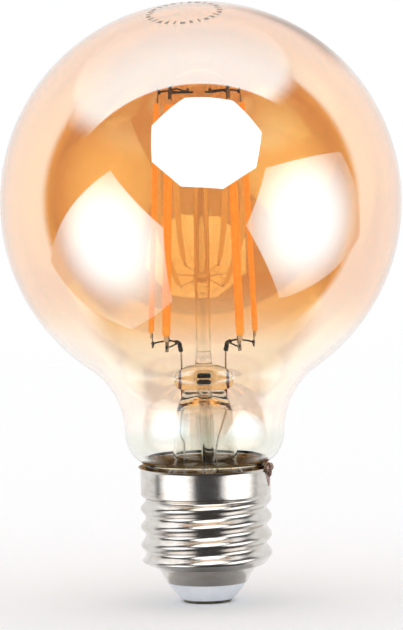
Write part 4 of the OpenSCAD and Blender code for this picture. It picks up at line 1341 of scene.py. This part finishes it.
@dataclass
class Studio:
    """The surroundings, the soft boxes, the floor, the fill light and the camera.

    Attributes:
        target: What the camera looks at, in millimetres.
        distance_mm: The camera's distance from it.
        elevation: The camera's height above the level, in degrees.
        roll: Its roll, in degrees.
        lens_mm: Its focal length.
        sensor_mm: Its sensor's width.
        far_m: How far it sees.
        globe_z: Height of the globe's middle, which the soft boxes face.
        floor_colour: The floor's colour.
        floor_half_m: Half the floor's width.
        seen_floor_mm: Mirrored rays see the floor only nearer than this.
        floor_fade_mm: Distances between which the floor fades out.
        white: Strength of the white surroundings.
        dark: Strength of the dark ones.
        ceiling_slope: How far the ceiling's front edge leans.
        ceiling_blur: Softness of that edge.
        ceiling_white: Strength of the ceiling over and behind the lamp.
        ceiling_front: Part of the way to the front at which it has that strength, and falls back to white.
        ceiling_tilt: How far the roofline climbs to the right.
        roofline: Rise in degrees between which the ceiling starts.
        side_turn: Turn in degrees from the camera's side between which the white sides start.
        side_foot: Rise in degrees between which the sides start from below.
        flag_depth: How far the grey flag at the right darkens the ceiling.
        flag_slant: How far the flag's lower edge climbs.
        flag_left: How far right it starts.
        flag_side: Part of the way to the front between which it starts.
        flag_foot: Height over its lower edge between which it starts.
        flag_top: Height between which it starts from above.
        fill_watts: Power of the fill light.
        fill_size_m: The fill light's width.
        fill_place_m: Where it hangs.
    """

    target: tuple[float, float, float] = (-0.25, 0.0, 57.5)
    distance_mm: float = 1200.0
    elevation: float = 5.5
    roll: float = -1.0
    lens_mm: float = 344.0
    sensor_mm: float = 36.0
    far_m: float = 50.0
    globe_z: float = 80.05
    floor_colour: str = "#FBFBFC"
    floor_half_m: float = 9.0
    seen_floor_mm: float = 14.0
    floor_fade_mm: tuple[float, float] = (110.0, 620.0)
    white: float = 1.0
    dark: float = 0.06
    ceiling_slope: float = 2.75
    ceiling_blur: float = 0.03
    ceiling_white: float = 1.7
    ceiling_front: tuple[float, float] = (-0.7, 0.0)
    ceiling_tilt: float = 0.5
    roofline: tuple[float, float] = (28.0, 42.0)
    side_turn: tuple[float, float] = (97.0, 105.0)
    side_foot: tuple[float, float] = (-56.0, -38.0)
    flag_depth: float = 0.4
    flag_slant: float = 0.9
    flag_left: tuple[float, float] = (0.04, 0.16)
    flag_side: tuple[float, float] = (-0.7, -0.9)
    flag_foot: tuple[float, float] = (0.0, 0.1)
    flag_top: tuple[float, float] = (0.6, 0.45)
    fill_watts: float = 1.4
    fill_size_m: float = 1.6
    fill_place_m: tuple[float, float, float] = (0.0, 0.4, 1.6)

    def build(self) -> None:
        """Makes the world, the floor, the soft boxes, the fill light and the camera."""
        bpy.context.scene.view_settings.view_transform = "Standard"
        self.build_world()
        self.build_floor()
        for box in SOFT_BOXES:
            box.build(Vector((0.0, 0.0, self.globe_z * MM)))
        self.build_fill()
        self.build_camera()

    def build_world(self) -> None:
        """Makes the surroundings.

        Rays that no gloss has turned, from the camera or straight through the glass, meet plain white.
        Mirrored rays meet the studio: a white ceiling and white sides, and dark round the camera and below.
        """
        world = bpy.data.worlds.new("studio")
        bpy.context.scene.world = world
        tree = emptied(world)
        way = node(tree, "ShaderNodeTexCoord").outputs["Generated"]
        level = node(tree, "ShaderNodeVectorRotate", {
            "Vector": way, "Axis": (1.0, 0.0, 0.0), "Angle": math.radians(self.elevation)},
            rotation_type="AXIS_ANGLE").outputs[0]
        parts = node(tree, "ShaderNodeSeparateXYZ", {0: level}).outputs
        front = node(tree, "ShaderNodeMath", {0: parts["Y"], 1: -1.0}, operation="MULTIPLY").outputs[0]
        turn = node(tree, "ShaderNodeMath", {0: parts["X"], 1: front}, operation="ARCTAN2").outputs[0]
        turn = node(tree, "ShaderNodeMath", {0: turn}, operation="ABSOLUTE").outputs[0]
        rise = node(tree, "ShaderNodeMath", {0: parts["Z"]}, operation="ARCSINE").outputs[0]
        right = node(tree, "ShaderNodeMath", {0: parts["X"], 1: 0.0}, operation="MAXIMUM").outputs[0]
        sunk = node(tree, "ShaderNodeMath", {0: right, 1: -self.ceiling_tilt},
            operation="MULTIPLY").outputs[0]
        roofline = node(tree, "ShaderNodeMath", {0: rise, 1: sunk}, operation="ADD").outputs[0]
        slant = node(tree, "ShaderNodeMath", {0: right, 1: -self.flag_slant},
            operation="MULTIPLY").outputs[0]
        slant = node(tree, "ShaderNodeMath", {0: parts["Z"], 1: slant}, operation="ADD").outputs[0]
        ahead = node(tree, "ShaderNodeMath", {0: front, 1: -self.ceiling_slope},
            operation="MULTIPLY").outputs[0]
        over = node(tree, "ShaderNodeMath", {0: parts["Z"], 1: ahead}, operation="ADD").outputs[0]
        limits = [(-self.ceiling_blur, self.ceiling_blur)]
        limits += [(math.radians(start), math.radians(end))
                   for start, end in (self.roofline, self.side_turn, self.side_foot)]
        gates = []
        for value, (start, end) in zip((over, roofline, turn, rise), limits):
            gates.append(node(tree, "ShaderNodeMapRange", {
                "Value": value, "From Min": start, "From Max": end},
            interpolation_type="SMOOTHSTEP").outputs[0])
        ceiling = node(tree, "ShaderNodeMath", {0: gates[0], 1: gates[1]}, operation="MULTIPLY").outputs[0]
        sides = node(tree, "ShaderNodeMath", {0: gates[2], 1: gates[3]}, operation="MULTIPLY").outputs[0]
        bright = node(tree, "ShaderNodeMapRange", {
            "Value": front, "From Min": self.ceiling_front[0], "From Max": self.ceiling_front[1],
            "To Min": self.white,
            "To Max": self.ceiling_white}).outputs[0]
        ceiling = node(tree, "ShaderNodeMath", {0: ceiling, 1: bright}, operation="MULTIPLY").outputs[0]
        lit = node(tree, "ShaderNodeMath", {0: ceiling, 1: sides}, operation="MAXIMUM").outputs[0]
        flag: bpy.types.NodeSocket | float = self.flag_depth
        for value, (start, end) in ((parts["X"], self.flag_left), (front, self.flag_side),
                                    (slant, self.flag_foot), (parts["Z"], self.flag_top)):
            gate = node(tree, "ShaderNodeMapRange", {
                "Value": value, "From Min": start, "From Max": end}).outputs[0]
            flag = node(tree, "ShaderNodeMath", {0: flag, 1: gate}, operation="MULTIPLY").outputs[0]
        lit = node(tree, "ShaderNodeMath", {0: lit, 1: flag}, operation="SUBTRACT").outputs[0]
        light = node(tree, "ShaderNodeMapRange", {
            "Value": lit, "To Min": self.dark, "To Max": self.white}, clamp=False).outputs[0]
        bounces = node(tree, "ShaderNodeLightPath").outputs["Glossy Depth"]
        bounced = node(tree, "ShaderNodeMath", {0: bounces, 1: 0.5}, operation="GREATER_THAN").outputs[0]
        light = node(tree, "ShaderNodeMix", {0: bounced, 2: self.white, 3: light}).outputs[0]
        background = node(tree, "ShaderNodeBackground", {"Color": WHITE, "Strength": light})
        node(tree, "ShaderNodeOutputWorld", {"Surface": background.outputs[0]})

    def build_floor(self) -> None:
        """Makes the pale floor.

        It fades out far off, is clear from below, and beyond its nearest part is hidden from mirrored rays.
        """
        paper = bpy.data.materials.new("floor_paper")
        tree = emptied(paper)
        where = node(tree, "ShaderNodeTexCoord").outputs["Object"]
        away = node(tree, "ShaderNodeVectorMath", {0: where}, operation="LENGTH").outputs["Value"]
        far = node(tree, "ShaderNodeMath", {0: away, 1: self.seen_floor_mm * MM},
            operation="GREATER_THAN").outputs[0]
        glossy = node(tree, "ShaderNodeLightPath").outputs["Is Glossy Ray"]
        hidden = node(tree, "ShaderNodeMath", {0: far, 1: glossy}, operation="MULTIPLY").outputs[0]
        fade = node(tree, "ShaderNodeMapRange", {
            "Value": away, "From Min": self.floor_fade_mm[0] * MM, "From Max": self.floor_fade_mm[1] * MM},
            interpolation_type="SMOOTHSTEP").outputs[0]
        hidden = node(tree, "ShaderNodeMath", {0: hidden, 1: fade}, operation="MAXIMUM").outputs[0]
        under = node(tree, "ShaderNodeNewGeometry").outputs["Backfacing"]
        hidden = node(tree, "ShaderNodeMath", {0: hidden, 1: under}, operation="MAXIMUM").outputs[0]
        matt = node(tree, "ShaderNodeBsdfDiffuse", {"Color": linear(self.floor_colour)}).outputs[0]
        clear = node(tree, "ShaderNodeBsdfTransparent").outputs[0]
        both = node(tree, "ShaderNodeMixShader", {0: hidden, 1: matt, 2: clear}).outputs[0]
        node(tree, "ShaderNodeOutputMaterial", {"Surface": both})
        half = self.floor_half_m
        mesh = bpy.data.meshes.new("floor")
        corners = [(-half, -half, 0.0), (half, -half, 0.0), (half, half, 0.0), (-half, half, 0.0)]
        mesh.from_pydata(corners, [], [(0, 1, 2, 3)])
        mesh.materials.append(paper)
        floor = bpy.data.objects.new("floor", mesh)
        bpy.context.scene.collection.objects.link(floor)

    def build_fill(self) -> None:
        """Makes the overhead light that evens the floor, unseen in mirrors and through glass."""
        data = bpy.data.lights.new("overhead_fill", "AREA")
        data.size = self.fill_size_m
        data.energy = self.fill_watts
        fill = bpy.data.objects.new("overhead_fill", data)
        fill.location = self.fill_place_m
        fill.visible_glossy = False
        fill.visible_transmission = False
        bpy.context.scene.collection.objects.link(fill)

    def build_camera(self) -> None:
        """Makes the camera, level with the lamp's waist and slightly rolled."""
        rise = math.radians(self.elevation)
        away = Vector((0.0, -math.cos(rise), math.sin(rise)))
        data = bpy.data.cameras.new("camera")
        data.lens = self.lens_mm
        data.sensor_width = self.sensor_mm
        data.clip_end = self.far_m
        camera = bpy.data.objects.new("camera", data)
        spot = (Vector(self.target) + away * self.distance_mm) * MM
        camera.matrix_world = (Matrix.Translation(spot) @ away.to_track_quat("Z", "Y").to_matrix().to_4x4()
                               @ Matrix.Rotation(math.radians(self.roll), 4, "Z"))
        bpy.context.scene.collection.objects.link(camera)
        bpy.context.scene.camera = camera


def main() -> None:
    """Builds the lamp from the studio inwards."""
    logging.basicConfig(level=logging.INFO, format="%(message)s")
    for part in (Studio(), Envelope(), ScrewCap(), Stem(), FilamentCage(), SealWires(), Driver()):
        part.build()
        log.info("%s is built", type(part).__name__)


if __name__ == "__main__":
    main()
